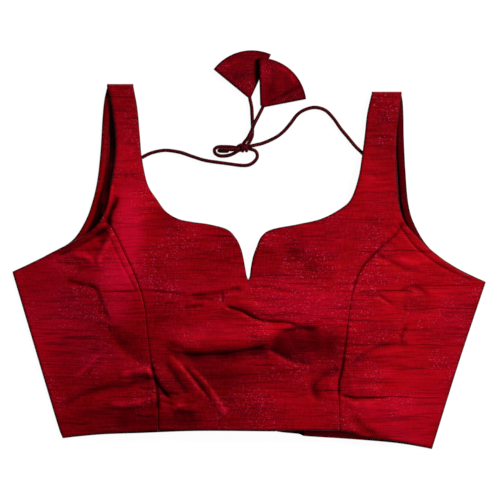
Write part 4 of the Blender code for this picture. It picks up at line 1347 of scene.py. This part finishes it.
# How much shade is painted over the whole right facing
RIGHT_FACING_PAINTED_SHADE = 0.66
facing_silk = raw_silk("bias_facing_silk", linear(146, 3, 9), linear(98, 1, 5), linear(158, 4, 18),
                       slub_depth=0.4, with_long_slubs=False)


def band_height(x, y):
    return np.full(np.shape(x), CLOTH + SEAM_GAP + BAND_CLOTH / 2 + EDGE_DIP[0] / 2)


def right_facing_painted_shade(x, y):
    return np.full(len(x), RIGHT_FACING_PAINTED_SHADE)


def sew_bands():
    bands = []
    for name, armhole, side, painted_shading in (("facing_left", BACK_ARM_LEFT, 1, None),
                                      ("facing_right", BACK_ARM_RIGHT, -1, right_facing_painted_shade)):
        along = edge(armhole)
        from_side = np.linalg.norm(along - along[-1], axis=1)
        along = along[(along[:, 1] < BAND_TOP) & (from_side > BAND_SHORT_OF_SIDE)]
        rows = [shifted(along, side * (SEAM_GAP + BAND_WIDTH * part)) for part in BAND_ROWS]
        ends = [[row[-1] for row in rows[1:-1]], [row[0] for row in rows[-2:0:-1]]]
        outline = np.vstack([rows[0], ends[0], rows[-1][::-1], ends[1]])
        inner = np.vstack([row[1:-1] for row in rows[1:-1]])
        bands.append(sew_panel(name, outline, inner, band_height, (facing_silk, lining),
                               thickness=BAND_CLOTH * BAND_PRESSED, painted_shading=painted_shading))
    return bands


band_left, band_right = sew_bands()
dress(band_left, "armhole_band_cloth", "armhole_band_left")
dress(band_right, "armhole_band_cloth", "armhole_band_right")

# %% [markdown]
# The hook strip is a doubled band of cloth along the back opening. Only its foot shows, as a near-black
# sliver under the front hem.

# %% The hook strip
HOOK_STRIP_TOP = -27.0
HOOK_STRIP_FOOT = [(27.15, -164.9), (34.5, -166), (48.5, -167.3), (51.8, -168.2), (55, -169.5), (66, -169.9)]


def strip_height(x, y):
    return np.full(np.shape(x), CLOTH / 2)


def sew_hook_strip():
    foot = smooth_curve(HOOK_STRIP_FOOT, BACK_PITCH)
    corners = [foot[-1], (foot[-1][0], HOOK_STRIP_TOP), (foot[0][0], HOOK_STRIP_TOP), foot[0]]
    sides = [np.linspace(a, b, round(math.dist(a, b) / BACK_PITCH), endpoint=False)
             for a, b in zip(corners, corners[1:])]
    outline = np.vstack([foot[:-1], *sides])
    return sew_panel("placket_hook_strip", outline, grid_inside(outline, BACK_PITCH), strip_height,
                     (lining, silk), dip=0)


hook_strip = dress(sew_hook_strip(), "hook_strip_cloth", "hook_strip")

# %% [markdown]
# Latkans are the tassels that weight a dori. These are cones of the same silk, pressed flat: an upper layer
# and a lower one, joined by a rolled fold on each side, open at the wide end. The rings of the cone are
# swept from the cord outwards. The right one lies on the left one, so it is lifted where they cross. Their
# few creases and shades are rows of the same kind as the front's.

# %% The latkans
Latkan = namedtuple("Latkan", "name x y first_angle last_angle first_radius last_radius lift")
LATKANS = [
    Latkan("latkan_left", 1.0, 167.5, 65.2, 140.6, 49.2, 46.8, 0.0),
    Latkan("latkan_right", 11.6, 158.8, 11.0, 91.8, 46.3, 49.6, 4.9),
]
LATKAN_WALL = 0.9
LATKAN_DEPTH = 3.4
LATKAN_THROAT = 2.2
LATKAN_PUFF = 0.5
LATKAN_PUFF_FULL = 20
LATKAN_WAVE = 0.35
LATKAN_WAVE_RADII = (8, 40)
LATKAN_RINGS = 40
LAYER_POINTS = 44
FOLD_POINTS = 8
LATKAN_LIFT_RADII = (6, 27)
LATKAN_LIFT_ANGLES = (20, 60)
latkan_silk = raw_silk("latkan_silk", linear(114, 2, 9), linear(66, 0, 4), linear(146, 5, 28),
                       slub_depth=0.3, with_long_slubs=False)
# Each mark paints shade along its line, or light where its dark value is below nothing; the shadow that the
# right latkan casts on the left one is painted too.
LATKAN_MARKS = {
    "latkan_left": [
        Crease("lit_streak", 0.5, 3, 3, -0.35, [(-28, 197), (-16, 203), (-5, 207)]),
        Crease("shade", -0.4, 4, 4, 0.3, [(-22, 187), (-8, 190), (5, 197)]),
        Crease("top_corner", -0.3, 3, 4, 0.6, [(4, 215), (14, 214.4), (21, 212)]),
        Crease("shadow_of_other", 0, 3, 3, 0.9, [(7, 180), (8.6, 194), (9.6, 210)]),
        Crease("whole", 0, 30, 30, 0.34, [(-6, 170), (-8, 196), (-10, 222)]),
    ],
    "latkan_right": [
        Crease("lit_edge", 0.3, 3, 5, -0.2, [(14, 163), (13, 184), (13, 206)]),
        Crease("shade", -0.4, 3, 4, 0.35, [(21, 168), (23.5, 185), (24, 202)]),
        Crease("shade_second", -0.3, 4, 3, 0.25, [(34, 178), (38, 188), (40, 196)]),
        Crease("rim_lit", 0.4, 3, 3, -0.25, [(27, 200), (38, 193), (48, 181)]),
        Crease("fold", -0.7, 1.2, 3, 0.6, [(16, 162.2), (20.3, 164.4), (31.9, 170.6), (52, 181)]),
        Crease("lower_flap", -0.2, 4, 4, 0.25, [(26, 163), (40, 167), (54, 172)]),
        Crease("whole", 0, 30, 30, 0.1, [(20, 160), (30, 184), (38, 206)]),
    ],
}


def latkan_ring(latkan, part):
    """One ring round the flattened cone: over the upper layer, round a fold, back under, round the other.

    It also says how far each of its points is from the nearest side fold or from the rim.
    """
    first, last = math.radians(latkan.first_angle), math.radians(latkan.last_angle)
    middle_radius = LATKAN_THROAT + part * ((latkan.first_radius + latkan.last_radius) / 2 - LATKAN_THROAT)
    half_depth = min(LATKAN_DEPTH, 0.9 * middle_radius * (last - first)) / 2
    inset = half_depth / middle_radius
    layer = np.linspace(first + inset, last - inset, LAYER_POINTS)
    turn = np.linspace(0, math.pi, FOLD_POINTS + 1)[1:-1]
    angles = np.concatenate([layer, last - inset + inset * np.sin(turn), layer[::-1],
                             first + inset - inset * np.sin(turn)])
    heights = np.concatenate([np.full(len(layer), half_depth), half_depth * np.cos(turn),
                              np.full(len(layer), -half_depth), -half_depth * np.cos(turn)])
    across = (angles - first) / (last - first)
    rim = latkan.first_radius + (latkan.last_radius - latkan.first_radius) * across
    radius = LATKAN_THROAT + part * (rim - LATKAN_THROAT)
    lift = latkan.lift * smooth_step(LATKAN_LIFT_RADII, radius)
    lift = lift * smooth_step(LATKAN_LIFT_ANGLES, np.degrees(angles))
    puff = LATKAN_PUFF * np.sin(math.pi * across) * np.minimum(1, radius / LATKAN_PUFF_FULL)
    wave = LATKAN_WAVE * np.sin(9 * across + radius / 9) * smooth_step(LATKAN_WAVE_RADII, radius)
    x, y = latkan.x + radius * np.cos(angles), latkan.y + radius * np.sin(angles)
    creased = crease_marks(LATKAN_MARKS[latkan.name], x, y)[0]
    heights = heights + np.where(heights > 0, puff + wave + creased, 0)
    middle = (LATKAN_DEPTH + LATKAN_WALL) / 2 + SEAM_GAP / 2
    from_fold = np.minimum(across, 1 - across) * (last - first) * radius
    return np.column_stack([x, y, middle + lift + heights]), np.minimum(from_fold, rim - radius)


def sew_latkan(latkan):
    rings, away = zip(*[latkan_ring(latkan, part) for part in np.linspace(0, 1, LATKAN_RINGS)])
    points, away, count = np.vstack(rings), np.concatenate(away), len(rings[0])
    faces = [list(range(count))]
    for start in range(0, len(points) - count, count):
        for k in range(count):
            after = (k + 1) % count
            faces.append((start + k, start + count + k, start + count + after, start + after))
    # Painted shade along the side folds and the rim, and the painted light and shade of the marks
    dark, width = EDGE_SHADE
    painted_shading = crease_marks(LATKAN_MARKS[latkan.name], points[:, 0], points[:, 1])[1]
    marks = {"edge": dark * fade_out(away, width), "painted_shading": np.clip(painted_shading, *PAINTED_SHADING_LIMITS)}
    return cloth_piece("silk_" + latkan.name, points, faces, (latkan_silk, lining), marks, LATKAN_WALL)


latkan_left, latkan_right = [sew_latkan(latkan) for latkan in LATKANS]
print("faces of each latkan's sheet:", len(latkan_left.data.polygons))
dress(latkan_left, "latkan_cloth", "latkan_left")
dress(latkan_right, "latkan_cloth", "latkan_right")
TAILS = [
    (tail_left, "dori_tail_left", tail_left_path, latkan_left),
    (tail_right, "dori_tail_right", tail_right_path, latkan_right),
]
for tail, node, path, latkan in TAILS:
    dress(tail, "dori_cord", node)

# %% [markdown]
# Each panel's cut is kept in `CUTS`: the width and the length of the piece in metres, and its flat area.
# All three were measured on its outline when it was sewn. The facings are sewn to the backs.

# %% [markdown]
# The table is a plain pale floor, which glows a little so that the shadows on it stay faint, as on a light
# table. The light is that of a small studio: a soft key from the upper right, low enough to bring out the
# folds, and a pale sky that fills the shadows.

# %% The floor and the light
FLOOR_SIZE = 6.0
FLOOR_LEVEL = -0.0002
KEY = {"place": (1.1, 0.95, 0.95), "size": 0.45, "power": 46}
SKY_STRENGTH = 0.16
FLOOR_GLOW = 0.96


def lay_floor():
    bpy.ops.mesh.primitive_plane_add(size=FLOOR_SIZE, location=(0, 0, FLOOR_LEVEL))
    floor = bpy.context.object
    floor.name = "pale_floor"
    paper = Finish("pale_paper")
    grain = paper.noise((300, 300, 300))
    floor.data.materials.append(paper.finished({
        "Base Color": paper.mix(grain, linear(72, 72, 72), linear(76, 76, 76)),
        "Roughness": 0.9,
        "Specular IOR Level": 0.0,
        "Emission Color": (1, 1, 1, 1),
        "Emission Strength": FLOOR_GLOW,
    }))


def soft_light(name, place, size, power):
    lamp = bpy.data.lights.new(name, "AREA")
    lamp.shape = "DISK"
    lamp.size = size
    lamp.energy = power
    light = bpy.data.objects.new(name, lamp)
    light.location = place
    aim = Vector((*VIEW_CENTRE, 0)) - Vector(place)
    light.rotation_euler = aim.to_track_quat("-Z", "Y").to_euler()
    bpy.context.scene.collection.objects.link(light)


lay_floor()
soft_light("key_light", **KEY)
sky = bpy.data.worlds.new("pale_sky")
sky.use_nodes = True
sky_light = sky.node_tree.nodes["Background"].inputs
sky_light["Color"].default_value = (1, 1, 1, 1)
sky_light["Strength"].default_value = SKY_STRENGTH
bpy.context.scene.world = sky
print("key light:", KEY["power"], "W, sky strength:", SKY_STRENGTH)
